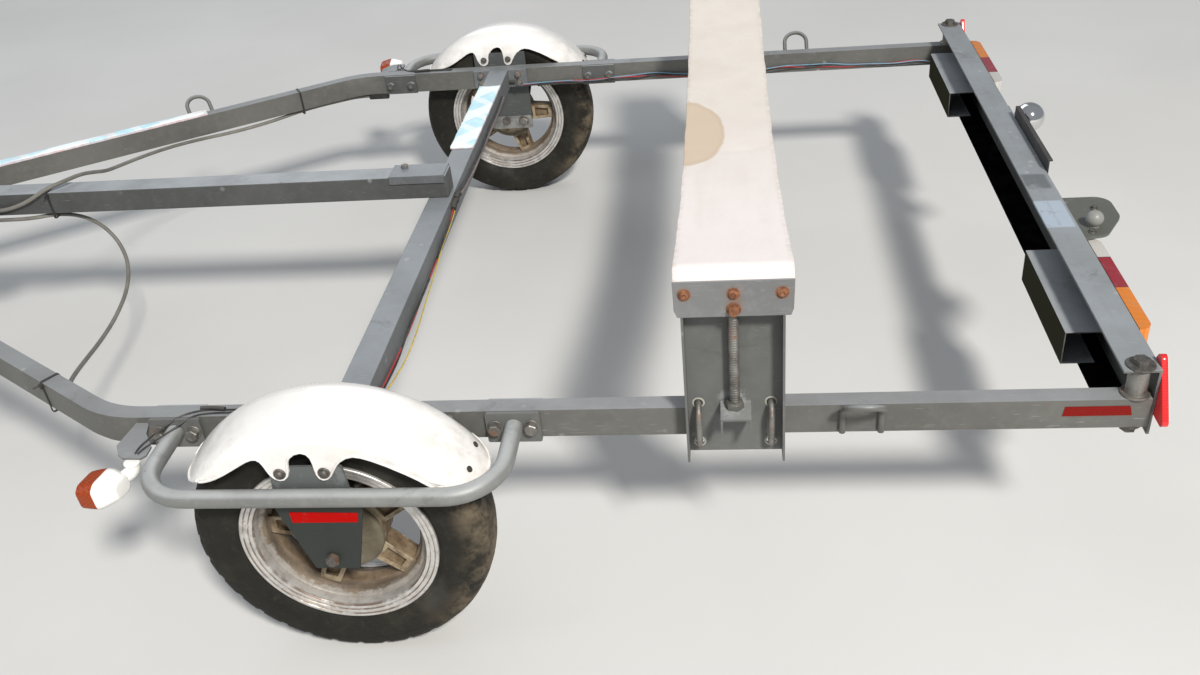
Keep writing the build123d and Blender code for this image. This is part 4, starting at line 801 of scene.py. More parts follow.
# ----------------------------------------------------------------- cables
LEFT_ROUTE = [(943, 33, 356), (903, 33, 356), (855, 23, 352), (803, 9, 354.0), (760, -5, 341), (730, -17, 308), (706, -12, 270), (687, 14, 234), (675, 68, 204), (667, 150, 188),
              (655, 242, 190), (632, 342, 210), (596, 440, 240), (548, 530, 272), (500, 600, 296), (454, 645, 308), (410, 673, 309.5), (370, 700.5, 307.5), (340, 700.5, 307.5)]
RIGHT_ROUTE = [(943, 33, 376), (905, 33, 376), (862, 32, 386), (826, 34.5, 402), (797, 29.5, 418), (769, 3, 422), (752, -36, 419.5), (751, -86, 401), (768, -150, 374), (780, -228, 352),
               (771, -305, 337), (743, -382, 325), (697, -450, 314), (634, -508, 305), (562, -564, 304), (494, -617, 309.5), (452, -646, 310), (410, -673, 309.5), (370, -700.5, 307.5), (340, -700.5, 307.5)]


def spline_curve(name, pts, r, mat, body="chassis"):
    cu = bpy.data.curves.new(name, "CURVE")
    cu.dimensions = "3D"
    cu.bevel_depth = r / 1000.0
    cu.bevel_resolution = 5
    cu.use_fill_caps = True
    sp = cu.splines.new("NURBS")
    sp.points.add(len(pts) - 1)
    for q, p in zip(sp.points, pts):
        q.co = (*L(*p), 1.0)
    sp.order_u = 3
    sp.use_endpoint_u = True
    sp.resolution_u = 14
    cu.materials.append(MAT[mat])
    o = bpy.data.objects.new(name, cu)
    scene.collection.objects.link(o)
    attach(o, body)
    return o


for nm, route, length in (("left_cable", LEFT_ROUTE, 1.1676), ("right_cable", RIGHT_ROUTE, 1.1254)):
    if nm in NODES:
        c = spline_curve(nm + "_sheath", route, 4.0, "cable_grey")
        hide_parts(nm)

# ------------------------------------------------------ CAD nodes' finish
for node, key, width in (
        ("left_rail", "rail_paint", 0.0022), ("right_rail", "rail_paint", 0.0022), ("axle_crossmember", "cross_paint", 0.0022), ("drawbar", "frame_paint", 0.0026),
        ("drawbar_saddle", "cross_paint", 0.0009), ("drawbar_nose_clamp", "zinc_steel", 0.0006), ("rear_beam", "beam_paint", 0.0014), ("beam_bolts", "old_bolt", 0.0006),
        ("beam_spacers", "zinc_old", 0.0004), ("lamp_covers", "cover_paint", 0.0007), ("tail_lamp_bodies", "lamp_black", 0.0008), ("tail_lamp_lenses", "lamp_lens", 0.0018),
        ("number_plate_holder", "black_plastic", 0.0006), ("number_plate_lamp", "chrome", 0.0), ("rear_tab", "tab_paint", 0.0006), ("rear_tab_knob", "knob_grey", 0.0004),
        ("triangle_reflectors", "reflector_red", 0.0012), ("sling_posts", "post_paint", 0.0008), ("sling_u_bolts", "zinc_old", 0.0), ("rail_backing_plates", "frame_paint", 0.0006),
        ("sling_end_plates", "end_plate_paint", 0.0006), ("wheel_guards", "guard_paint", 0.0007), ("axle_plates", "plate_paint", 0.0008), ("wheel_axles", "old_bolt", 0.0005),
        ("fenders", "fender_white", 0.0), ("left_rim", "rim_alloy", 0.0010), ("right_rim", "rim_alloy", 0.0010),
        ("signal_brackets", "rail_paint", 0.0005), ("coupler", "jack_zinc", 0.0012), ("coupler_handle", "jack_zinc", 0.0010),
        ("winch_post", "frame_paint", 0.0016), ("winch_post_clamp", "zinc_steel", 0.0005), ("bow_stop", "black_rubber", 0.0025), ("winch_frame", "jack_zinc", 0.0007),
        ("winch_drum", "jack_zinc", 0.0006), ("winch_crank", "jack_zinc", 0.0008), ("winch_grip", "black_plastic", 0.0), ("jack_clamp", "jack_zinc", 0.0010),
        ("jack_tube", "jack_zinc", 0.0008), ("jack_grip", "black_plastic", 0.0010), ("jack_leg", "jack_zinc", 0.0005), ("jockey_fork", "jack_zinc", 0.0007),
        ("jockey_wheel_hub", "black_plastic", 0.0008), ("jockey_wheel_tyre", "black_rubber", 0.0012), ("junction_box", "black_plastic", 0.0012), ("cable_splices", "black_rubber", 0.0012)):
    dress(node, key)
    if width:
        soften(node, width)

# --------------------------------------------------------------- the belt
def belt():
    nose_y, nose_z, r_mid = 724.0, 568.0, 20.0
    th = math.radians(14.4)
    R = (nose_y - r_mid * math.sin(th)) / math.sin(th)
    cz = nose_z + r_mid * math.cos(th) + R * math.cos(th)
    pts = []                                  # (y, z, ny, nz) along the middle of the band, from the left end
    for z in [534 + 2.0 * k for k in range(17)]:
        pts.append((nose_y + r_mid, z, 1.0, 0.0))
    for k in range(1, 25):
        a = math.radians(0 + (90 + 14.4) * k / 24)
        pts.append((nose_y + r_mid * math.cos(a), nose_z + r_mid * math.sin(a), math.cos(a), math.sin(a)))
    n_mid = 240
    for k in range(1, n_mid):
        a = th * (1 - 2 * k / n_mid)
        pts.append((R * math.sin(a), cz - R * math.cos(a), -math.sin(a), math.cos(a)))
    half = [(p[0], p[1], p[2], p[3]) for p in pts[:41]]
    pts += [(-y, z, -ny, nz) for y, z, ny, nz in reversed(half)]
    arc = [0.0]
    for p, q in zip(pts, pts[1:]):
        arc.append(arc[-1] + math.hypot(q[0] - p[0], q[1] - p[1]))
    total = arc[-1]
    W, T = 153.0, 3.5
    x_mid = -562.0
    cols = 34
    r = random.Random(3)
    creases = [(178.0, 13.0, 1.0), (-120.0, 30.0, 0.5), (330.0, 40.0, 0.6), (-420.0, 26.0, 0.6), (520.0, 22.0, 0.4), (30.0, 18.0, 0.35)]

    def lift(y, x):
        v = 0.0
        for cy, wd, am in creases:
            d = (y - cy - 8 * math.sin(x / 23.0 + cy)) / wd
            v -= am * math.exp(-d * d)
        v += 0.35 * math.sin(y / 47.0 + x / 60.0) + 0.25 * math.sin(y / 19.0 - x / 31.0)
        return v

    bm = bmesh.new()
    uvl = bm.loops.layers.uv.new("UVMap")
    ring_def = []
    # around the section: top row, rounded selvedge, bottom row, rounded selvedge
    for k in range(cols + 1):
        ring_def.append((-W / 2 + 1.6 + (W - 3.2) * k / cols, 1.0, 0.0))
    for k in range(1, 5):
        a = math.pi * k / 5
        ring_def.append((W / 2 - 1.6 + 1.6 * math.sin(a), math.cos(a), 0.0))
    for k in range(cols + 1):
        ring_def.append((W / 2 - 1.6 - (W - 3.2) * k / cols, -1.0, 0.0))
    for k in range(1, 5):
        a = math.pi * k / 5
        ring_def.append((-W / 2 + 1.6 - 1.6 * math.sin(a), -math.cos(a), 0.0))
    rows = []
    for i, (y, z, ny, nz) in enumerate(pts):
        mid = max(0.0, 1.0 - abs(y) / 690.0) if abs(y) < 690 else 0.0
        free = min(1.0, mid * 4)
        edge_wave = 0.5 * math.sin(arc[i] / 33.0) + 0.3 * math.sin(arc[i] / 11.0 + 1.0)
        row = []
        for xo, side, _ in ring_def:
            cup = 1.6 * (xo / (W / 2)) ** 2 - 0.5
            off = side * T / 2 + free * (lift(y, xo) + cup)
            xx = x_mid + xo + (edge_wave * free if abs(xo) > W / 2 - 2 else 0.0)
            row.append(bm.verts.new(L(xx, y + ny * off, z + nz * off)))
        rows.append(row)
    n = len(ring_def)
    for i in range(len(rows) - 1):
        for k in range(n):
            k2 = (k + 1) % n
            f = bm.faces.new((rows[i][k], rows[i + 1][k], rows[i + 1][k2], rows[i][k2]))
            for lp, (ii, kk) in zip(f.loops, ((i, k), (i + 1, k), (i + 1, k2), (i, k2))):
                lp[uvl].uv = (arc[ii] / 1000.0, (ring_def[kk][0] + W / 2) / 1000.0)
    bm.faces.new(rows[0])
    bm.faces.new(list(reversed(rows[-1])))
    bmesh.ops.recalc_face_normals(bm, faces=bm.faces[:])
    me = bpy.data.meshes.new("belt")
    bm.to_mesh(me)
    bm.free()
    o = link("belt", me, "sling_webbing", "chassis", 60)
    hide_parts("sling_belt")
    return total


BELT_LENGTH = belt()


# ----------------------------------------------------------------- tyres
def tyre(name, side, body, node):
    """worn scooter tyre: zigzag ribs, shoulder cuts, ringed sidewalls"""
    cy, cz = side * 787.0, 217.0
    outer = [(-41, 127.4), (-43.0, 139), (-43.6, 146), (-46.2, 150), (-47.4, 154.5), (-49.0, 158), (-50.2, 164), (-51, 170), (-51, 178), (-50.6, 184), (-49.8, 189), (-49.0, 193), (-48.4, 196.5)]
    crown = []
    steps = 74
    key = [(-47.6, 199.5), (-42.5, 207), (-32, 212.8), (-16, 216.1), (0, 217), (16, 216.1), (32, 212.8), (42.5, 207), (47.6, 199.5)]
    for k in range(steps + 1):
        yy = -47.6 + 95.2 * k / steps
        for (a0, b0), (a1, b1) in zip(key, key[1:]):
            if a0 <= yy <= a1 + 1e-9:
                t = (yy - a0) / (a1 - a0)
                # smooth a little between the table's points
                crown.append((yy, b0 + (b1 - b0) * (t if abs(a0) > 30 else t)))
                break
    right = [(-a, b) for a, b in reversed(outer)]
    prof = outer + crown + right
    inner = [(41, 127.4), (38, 131), (40, 150), (44, 165), (44, 185), (36, 200), (15, 207), (0, 208), (-15, 207), (-36, 200), (-44, 185), (-44, 165), (-40, 150), (-38, 131)]
    seg = 384
    bm = bmesh.new()
    pitch = 2 * math.pi / 32

    def tri(t):
        t = t % 1.0
        return 4 * abs(t - 0.5) - 1.0

    rings = []
    for i in range(seg):
        t = 2 * math.pi * i / seg
        ct, st = math.cos(t), math.sin(t)
        ring = []
        for j, (yy, rr) in enumerate(prof):
            r_ = rr
            ay = abs(yy)
            if ay < 47.7 and rr > 199:
                z1 = tri(t / pitch)
                d = 9.0
                for c, am in ((-24.0, 4.6), (0.0, 4.2), (24.0, 4.6)):
                    d = min(d, abs(yy - (c + am * z1)))
                depth = 1.0 if d < 1.5 else (0.5 if d < 2.3 else 0.0)
                # shoulder cuts between the zigzag's points
                if ay > 31:
                    ph = (t / pitch + (0.25 if yy > 0 else 0.75)) % 1.0
                    w = abs(ph - 0.5)
                    if w < 0.085:
                        depth = max(depth, 1.0)
                    ph2 = (t / pitch + (0.75 if yy > 0 else 0.25)) % 1.0
                    if abs(ph2 - 0.5) < 0.05 and ay < 41:
                        depth = max(depth, 0.7)
                r_ -= 2.6 * depth
                # worn unevenly
                r_ -= 0.25 * (1 + math.sin(3 * t + yy / 20.0)) * (1 - depth)
            elif 150 < rr < 198:
                # thin raised rings and short ribs on the sidewall
                if abs(rr - 164) < 3.1:
                    r_ = rr
                if rr > 186 and (t / pitch * 2) % 1.0 < 0.5:
                    yy = yy * 0.994
            ring.append(bm.verts.new(L(r_ * ct, cy + yy, cz + r_ * st)))
        for yy, rr in inner:
            ring.append(bm.verts.new(L(rr * ct, cy + yy, cz + rr * st)))
        rings.append(ring)
    n = len(rings[0])
    for i in range(seg):
        a, b = rings[i], rings[(i + 1) % seg]
        for k in range(n):
            k2 = (k + 1) % n
            bm.faces.new((a[k], b[k], b[k2], a[k2]))
    bmesh.ops.recalc_face_normals(bm, faces=bm.faces[:])
    me = bpy.data.meshes.new(name)
    bm.to_mesh(me)
    bm.free()
    o = link(name, me, "tyre_rubber", body, 30)
    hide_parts(node)
    # raised rings
    b = Build()
    for s in (-1, 1):
        for rr, yy in ((150.5, 46.2), (160.5, 49.3), (187.5, 50.2)):
            b.lathe((0, cy + s * yy, cz), (0, s, 0), [(-0.6, rr - 1.3), (0.25, rr - 0.7), (0.25, rr + 0.7), (-0.6, rr + 1.3)], 144)
    r = b.done(name + "_rings", "tyre_rubber", body, 50)


tyre("left_tread", 1, "left_wheel", "left_tyre")
tyre("right_tread", -1, "right_wheel", "right_tyre")


# --------------------------------------------------------- wheel details
def wheel_details(side, body):
    cy, cz = side * 787.0, 217.0
    for out in (1, -1):
        yf = cy + out * 30.0
        b = Build()
        # plain cast hub face, a little dished, with a low boss at the axle
        b.lathe((0, yf, cz), (0, out, 0), [(-8.0, 60.4), (-3.5, 60.4), (-1.4, 59.2), (-0.2, 57.0), (0.4, 54.0), (0.4, 50.0), (-0.2, 47.0), (-0.1, 33.0), (1.2, 30.0), (5.0, 27.0), (12.5, 24.0), (15.2, 22.0), (16.1, 20.0), (16.1, 15.0)], 96)
        h = b.done("%s_hub_face_%s" % (body, "out" if out == side else "in"), "hub", body, 50)
    # rolled lip of the rim and the round-edged steps down to its well
    b = Build()
    for s in (-1, 1):
        b.lathe((0, cy, cz), (0, s, 0), [(43.0, 143.4), (46.4, 143.5), (47.6, 143.0), (48.2, 141.9), (48.3, 140.0), (48.1, 138.6), (47.6, 137.9), (46.7, 137.6), (46.6, 137.3), (46.9, 136.6), (47.0, 135.0), (46.9, 132.4),
                                         (46.6, 131.2), (45.9, 130.7), (45.3, 130.5), (45.4, 130.0), (45.7, 129.2), (45.7, 126.6), (45.3, 125.0), (44.3, 124.4), (42.0, 123.6), (38.0, 122.5)], 176)
        b.lathe((0, cy, cz), (0, s, 0), [(29.0, 121.4), (27.8, 120.6), (26.6, 118.8), (25.3, 116.0), (24.2, 114.2), (22.5, 113.2)], 128)
    h = b.done(body + "_rim_lips", "rim_alloy", body, 40)
    # valve stem through the well
    a = math.radians(113.8 if side > 0 else 145.2)
    d = Vector((math.cos(a), 0, math.sin(a)))
    b = Build()
    c = Vector((0, cy + side * 24, cz)) + d * 111
    ax = (-d * 0.86 + Vector((0, side * 0.5, 0)))
    b.lathe(c, ax, [(-2, 7.0), (2, 6.5), (6, 4.2), (16, 3.8), (18, 3.0), (18, 3.9), (24, 3.9), (25, 3.3), (25, 0)], 20)
    h = b.done(body + "_valve", "black_rubber", body)
    # balance of the casting: fillets where the spokes meet the well
    b = Build()
    for k in range(5):
        a = math.radians((66.2 if side > 0 else 34.8) + 72 * k)
        u = Vector((math.cos(a), 0, -math.sin(a)))
        w = Vector((math.sin(a), 0, math.cos(a)))
        for t in (-1, 1):
            p0 = Vector((0, cy, cz)) + u * 58 + w * t * 17.5
            p1 = Vector((0, cy, cz)) + u * 109 + w * t * 13.8
            for yy in (15.2, -15.2):
                b.tube([p0 + Vector((0, yy, 0)), p0.lerp(p1, 0.5) + Vector((0, yy, 0)), p1 + Vector((0, yy, 0))], 1.7, 8)
    h = b.done(body + "_spoke_edges", "rim_alloy", body)


wheel_details(1, "left_wheel")
wheel_details(-1, "right_wheel")


# ------------------------------------------------------- fender edge bead
def fender_beads():
    o = NODES["fenders"]
    bm = bmesh.new()
    bm.from_mesh(o.data)
    bmesh.ops.remove_doubles(bm, verts=bm.verts[:], dist=0.00003)
    bmesh.ops.dissolve_degenerate(bm, dist=0.00001, edges=bm.edges[:])
    chains = {}
    keep = []
    for e in bm.edges:
        if len(e.link_faces) != 2:
            continue
        if e.calc_face_angle(0) < math.radians(52):
            continue
        keep.append(e)
    # join the edges into chains
    left = set(keep)
    by_vert = {}
    for e in keep:
        for v in e.verts:
            by_vert.setdefault(v, []).append(e)
    b = Build()
    n_ch = 0
    while left:
        e = left.pop()
        chain = [e.verts[0], e.verts[1]]
        for end in (1, 0):
            while True:
                v = chain[-1] if end else chain[0]
                nxt = None
                for f in by_vert[v]:
                    if f in left:
                        nxt = f
                        break
                if nxt is None:
                    break
                left.discard(nxt)
                w = nxt.other_vert(v)
                if end:
                    chain.append(w)
                else:
                    chain.insert(0, w)
        if len(chain) < 6:
            continue
        pts = [v.co * 1000.0 + Vector((SHIFT, 0, 0)) for v in chain]
        closed = (pts[0] - pts[-1]).length < 0.1
        # even spacing
        out = [pts[0]]
        acc = 0.0
        for p, q in zip(pts, pts[1:]):
            if (q - out[-1]).length > 1.7:
                out.append(q)
        if closed and (out[-1] - out[0]).length < 1.2:
            out.pop()
        if len(out) < 6:
            continue
        for _ in range(1):
            m = [p.copy() for p in out]
            for i in range(len(out)):
                if not closed and i in (0, len(out) - 1):
                    continue
                m[i] = out[i] * 0.5 + (out[i - 1] + out[(i + 1) % len(out)]) * 0.25
            out = m
        b.tube(out, 1.9, 8, closed=closed)
        n_ch += 1
    bm.free()
    h = b.done("fender_beads", "fender_white", "chassis", 60)
    print("fender beads", n_ch)


fender_beads()

# -------------------------------------------------------------- fasteners
zin, old, rus, lnk = Build(), Build(), Build(), Build()
for s in (1, -1):
    # guard end plates: two hexagon bolts each, through the rail
    for gx in (250, -250):
        for dx in (-26, 26):
            zin.bolt((gx + dx, s * 725.5, 338), (0, s, 0), 17, 9.5, washer=11.5, phase=rnd.random())
            zin.lathe((gx + dx, s * 680.0, 335), (0, -s, 0), [(0, 4.6), (5, 4.6), (6, 3.9), (6, 0)], 16)
            zin.washer((gx + dx, s * 687.0, 335), (0, -s, 0), 10.0, 1.2)
    # fender's outer tabs on the outer wheel plate: button heads with washers
    for bx_, bz in ((38, 373), (-23, 374)):
        old.lathe((bx_, s * 865.4, bz), (0, s, 0), [(-4.5, 8.5), (0, 8.5), (1.2, 7.9), (1.2, 5.9), (3.0, 5.5), (4.4, 4.2), (4.9, 2.6), (4.2, 2.4), (4.2, 0)], 26)
    # fender's inner tabs, from inside, and the plate's second row
    for bx_, bz in ((38, 378), (-23, 378)):
        old.bolt((bx_, s * 717.0, bz), (0, -s, 0), 10, 4.5, washer=7.5, phase=rnd.random())
    old.bolt((50, s * 724.0, 222), (0, s, 0), 13, 6.5, washer=9.0, phase=0.4)
    old.bolt((-50, s * 724.0, 330), (0, s, 0), 13, 6.5, washer=9.0, phase=0.1)
    old.bolt((50, s * 724.0, 330), (0, s, 0), 13, 6.5, washer=9.0, phase=0.7)
    # crossmember flange bolts
    for cx in (-50, 44):
        for cz in (328, 350):
            zin.bolt((cx, s * 687.0, cz), (0, -s, 0), 13, 7.0, washer=9.0, phase=rnd.random(), stud=2.0)
    # rear tab's two small bolts
    if s > 0:
        old.bolt((-1151, 256, 404.5), (0, 0, 1), 8, 3.5, washer=6.0, phase=0.4)
        old.bolt((-1127, 336, 404.5), (0, 0, 1), 8, 3.5, washer=6.0, phase=0.9)
    # inner axle plates: a short link bar with its bolt beside the axle's nut
    lnk.prism([(-62, s * 719.4, 195), (28, s * 719.4, 195), (41, s * 719.4, 200), (46, s * 719.4, 212), (41, s * 719.4, 224), (28, s * 719.4, 229), (-62, s * 719.4, 229), (-66, s * 719.4, 225), (-66, s * 719.4, 199)], (0, -s * 2.9, 0), 0.8)
    zin.bolt((-44, s * 716.4, 215), (0, -s, 0), 20, 9.0, washer=13.5, phase=0.35, stud=3.0)
    # sling end plates: the four rusted heads, with washers on three
    for hx, hz, big in ((-500, 560, 0), (-562, 560, 0), (-623, 560, 0), (-562, 537, 1)):
        if big:
            rus.bolt((hx, s * 749.0, hz), (0, s, 0), 13, 7.0, washer=9.5, phase=0.5)
        else:
            rus.lathe((hx, s * 749.0, hz), (0, s, 0), [(0, 8.6), (0.9, 8.3), (1.0, 6.4), (3.2, 6.1), (4.6, 4.6), (5.0, 2.9), (3.7, 2.6), (3.6, 0)], 28)
    # the reflector's middle screw
    old.lathe((-1119.0, s * 700, 358), (-1, 0, 0), [(0, 5.0), (1.6, 4.6), (2.4, 3.0), (2.5, 0)], 20)
# saddle, nose clamp studs, coupler and clamp bolts
zin.hexhead((67, -10, 417), (0, 0, 1), 12.6, 2.0)
for ux in (1300.0, 1436.0):
    for s in (1, -1):
        zin.lathe((ux, s * 31, 303), (0, 0, -1), [(0, 4.0), (11, 4.0), (12.5, 3.2), (12.5, 0)], 16)
for cx in (2050, 2100):
    zin.bolt((cx, 29.0, 385), (0, 1, 0), 17, 8.5, washer=11.5, phase=0.2)
    zin.bolt((cx, -29.0, 385), (0, -1, 0), 17, 8.0, washer=11.5, phase=0.5, stud=4.0)
for dx in (-32, 32):
    zin.bolt((1740 + dx, -31.0, 400), (0, -1, 0), 15, 7.5, washer=10.5, phase=0.3)
    zin.bolt((1740 + dx, -31.0, 370), (0, -1, 0), 15, 7.5, washer=10.5, phase=0.6)
for cx, cz in ((1600, 760), (1622, 760), (1562, 770)):
    for s in (1, -1):
        zin.bolt((cx, s * 39.0, cz), (0, s, 0), 10, 5.0, washer=7.0, phase=0.4)
for cx in (1575, 1625):
    for s in (1, -1):
        zin.bolt((cx, s * 27, 752), (0, 0, 1), 10, 5.0, washer=7.5, phase=0.1)
for o_, nm, slot in ((zin, "bolts_zinc", "zinc_steel"), (old, "bolts_old", "zinc_steel"), (rus, "bolts_rusted", "zinc_steel"), (lnk, "axle_link_bars", "zinc_steel")):
    h = o_.done(nm, {"bolts_zinc": "zinc_old", "bolts_old": "old_bolt", "bolts_rusted": "rust", "axle_link_bars": "zinc_steel"}[nm])

# worn rings of pale paint round the U-bolts' holes
b = Build()
for s in (1, -1):
    for hx in (-511.0, -609.5):
        for hz in (305.0, 372.0):
            b.lathe((hx, s * 722.7, hz), (0, s, 0), [(-0.6, 6.1), (0.35, 6.3), (0.55, 7.2), (0.3, 8.4), (-0.4, 9.2)], 40)
h = b.done("hole_rings", "chipped", "chassis", 60)


# --------------------------------------------------------- turn signals
def signals():
    """eight-sided white shell that narrows to the rear, ribbed orange lens in front, on a stubby neck"""
    shell, lens = Build(), Build()
    for s in (1, -1):
        d = Vector((0.989, -0.080, -0.123)).normalized()
        e1 = Vector((0, 0, 1)).cross(d).normalized()
        e2 = d.cross(e1)
        c_, s_ = math.cos(0.082), math.sin(0.082)
        e1, e2 = e1 * c_ + e2 * s_, -e1 * s_ + e2 * c_
        centre = Vector((310.2, 838.0, 328.8))
        flip = lambda p: Vector((p.x, s * p.y, p.z))
        w, h = 30.4, 21.4
        corner = []
        for sx, sy in ((1, 1), (-1, 1), (-1, -1), (1, -1)):
            pair = [(sx * w, sy * h * 0.62), (sx * w * 0.62, sy * h)]
            corner += pair if sx * sy > 0 else pair[::-1]
        outline = []
        for i in range(8):
            p, a, q = Vector(corner[i]), Vector(corner[i - 1]), Vector(corner[(i + 1) % 8])
            p0, p1 = p + (a - p) * 0.22, p + (q - p) * 0.22
            for t in (0.0, 0.33, 0.67, 1.0):
                outline.append(p0 * (1 - t) ** 2 + p * 2 * t * (1 - t) + p1 * t * t)

        def loft(b, stations):
            rings = []
            for t, k in stations:
                rings.append([b.bm.verts.new(L(*flip(centre + d * t + (e1 * o.x + e2 * o.y) * k))) for o in outline])
            n = len(outline)
            for r0, r1 in zip(rings, rings[1:]):
                for i in range(n):
                    j = (i + 1) % n
                    b.bm.faces.new((r0[i], r1[i], r1[j], r0[j]))
            for t, k, ring in ((stations[0][0], stations[0][1], rings[0]), (stations[-1][0], stations[-1][1], rings[-1])):
                prev = ring
                mid = b.bm.verts.new(L(*flip(centre + d * t)))
                for i in range(n):
                    b.bm.faces.new((prev[i], prev[(i + 1) % n], mid))

        loft(shell, [(-0.2, 0.90), (-0.2, 0.965), (-0.8, 0.992), (-2.0, 1.0), (-9.0, 0.905), (-18.0, 0.75), (-26.0, 0.60), (-27.8, 0.555), (-28.8, 0.49), (-29.1, 0.42)])
        ribs = []
        k_n = 20
        for i in range(k_n + 1):
            t = 1.2 + (25.0 - 1.2) * i / k_n
            ribs.append((t, 0.992 - 0.10 * (t / 25.0) ** 1.5 + (0.004 if i % 2 else -0.002)))
        loft(lens, [(0.0, 0.90), (0.0, 0.975), (0.5, 0.988)] + ribs + [(26.2, 0.865), (27.0, 0.82), (27.4, 0.72)])
        # a shallow lip where the lens meets the shell
        neck_end = centre - d * 15 + Vector((0, -12, 0))
        pts = [Vector((280, 805, 349.2)), Vector((280, 805, 345)), Vector((280, 805.4, 341)), Vector((281.2, 807, 337)), Vector((284, 811, 334)), neck_end.lerp(Vector((284, 811, 334)), 0.5), neck_end]
        shell.tube([flip(p) for p in pts], 10.0, 32)
        shell.lathe(flip(Vector((280, 805, 345.6))), (0, 0, 1), [(0, 10.0), (0.4, 11.2), (2.6, 11.6), (3.3, 11.2), (3.4, 0)], 36)
    a = shell.done("signal_shells", "signal_white", "chassis", 40)
    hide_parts("signal_bodies")
    q = lens.done("signal_lens_ribbed", "signal_orange", "chassis", 48)
    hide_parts("signal_lenses")


signals()


# reflectors: a pale rim round each red triangle
b = Build()
for s in (1, -1):
    tri = [Vector((-1119.0, s * 645, 334)), Vector((-1119.0, s * 755, 334)), Vector((-1119.0, s * 700, 426))]
    mid = (tri[0] + tri[1] + tri[2]) / 3
    outer = []
    for i in range(3):
        p, a, q = tri[i], tri[i - 1], tri[(i + 1) % 3]
        r_ = 8.0
        ua, uq = (a - p).normalized(), (q - p).normalized()
        half = ua.angle(uq) / 2
        d_ = r_ / math.tan(half)
        cc = p + (ua + uq).normalized() * (r_ / math.sin(half))
        for t in (0.0, 0.25, 0.5, 0.75, 1.0):
            v_ = (p + ua * d_).lerp(p + uq * d_, t)
            outer.append(cc + (v_ - cc).normalized() * r_)
    rows = []
    for k, dx in ((0.995, 0.6), (0.985, -0.9), (0.93, -1.1), (0.905, -0.6), (0.90, 0.3)):
        rows.append([b.bm.verts.new(L(*((mid + (p - mid) * k) + Vector((dx, 0, 0))))) for p in outer])
    n_ = len(outer)
    for r0, r1 in zip(rows, rows[1:]):
        for i in range(n_):
            j = (i + 1) % n_
            b.bm.faces.new((r0[i], r1[i], r1[j], r0[j]))
h = b.done("reflector_rims", "reflector_rim", "chassis", 50)

# two dark screw holes near each fender's rear end
b = Build()
for s in (1, -1):
    for (hx, hy, hz), th, lean in (((-205.0, 771.0, 344.0), 143.4, -0.096), ((-205.2, 820.2, 341.0), 144.0, 0.156)):
        nrm = Vector((math.cos(math.radians(th)), s * lean, math.sin(math.radians(th)))).normalized()
        b.lathe(Vector((hx, s * hy, hz)) - nrm * 0.8, nrm, [(0, 4.6), (1.35, 4.5), (1.45, 3.9), (0.5, 3.3), (0.4, 0)], 24)
h = b.done("fender_rear_holes", "black_rubber", "chassis", 50)


# the fenders' inner tabs come down over the plates' inner faces
FRONT_TAB = [(60, 397), (56, 387), (54, 379), (51, 371), (47, 366), (42, 363.4), (36, 363.4), (29, 368), (26, 377), (25.5, 386), (24, 393), (20.5, 399)]
REAR_TAB = [(-11, 399), (-12, 390), (-12.5, 380), (-12.8, 371), (-15, 366), (-19, 363.2), (-26, 363.4), (-31, 368), (-35, 376), (-40, 385), (-47, 393), (-54, 398)]
b = Build()
for s in (1, -1):
    for tab in (FRONT_TAB, REAR_TAB):
        b.prism([(x, s * 719.4, z) for x, z in tab], (0, -s * 2.3, 0), 0.5)
        top = [(x, max(z, 394.3)) for x, z in (tab[0], tab[-1])]
        b.box(min(top[0][0], top[1][0]) + 1.5, max(top[0][0], top[1][0]) - 1.5, min(s * 717.2, s * 724.6), max(s * 717.2, s * 724.6), 394.4, 397.0, 0.4)
h = b.done("fender_inner_tabs", "fender_white", "chassis", 40)


# ------------------------------------------------- height screws' threads
def height_screws():
    b = Build()
    for s in (1, -1):
        cx, cy = -560.5, s * 736.0
        z0, z1, pitch, seg = 360.5, 524.0, 3.8, 22
        n = int((z1 - z0) / (pitch / 5))
        rings = []
        for i in range(n + 1):
            z = z0 + (z1 - z0) * i / n
            ring = []
            for k in range(seg):
                t = 2 * math.pi * k / seg
                ph = ((z - z0) / pitch - t / (2 * math.pi)) % 1.0
                r = 6.35 + 1.0 * (1 - abs(2 * ph - 1))
                ring.append(b.bm.verts.new(L(cx + r * math.cos(t), cy + r * math.sin(t), z)))
            rings.append(ring)
        for a, c in zip(rings, rings[1:]):
            for k in range(seg):
                k2 = (k + 1) % seg
                b.bm.faces.new((a[k], a[k2], c[k2], c[k]))
        b.bm.faces.new(rings[-1])
        b.bm.faces.new(list(reversed(rings[0])))
        # the squared head end and the big nut on the rest
        b.lathe((cx, cy, 521.0), (0, 0, 1), [(0, 7.0), (5.5, 7.0), (8.4, 6.0), (8.5, 0)], 24)
        b.hexhead((cx, cy, 374.2), (0, 0, 1), 22, 9.8, 0.25)
    h = b.done("height_screw_threads", "zinc_old", "chassis", 40)
    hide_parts("height_screws")


height_screws()


# ---------------------------------------------------------------- strips
def strips():
    b, dull = Build(), Build()
    for s in (1, -1):
        # rail's rear end: slanted ends
        y = s * 719.6
        pts = [(-996, y, 351.5), (-1079, y, 351.5), (-1083, y, 336), (-994, y, 336)]
        dull.prism(pts, (0, s * 0.5, 0))
        y = s * 861.6
        pts = [(43, y, 303.5), (-53, y, 301.5), (-50, y, 285), (42, y, 284.5)]
        b.prism(pts, (0, s * 0.5, 0))
    h = b.done("red_strips", "strip_red")
    h = dull.done("dull_red_strips", "strip_dull")


strips()


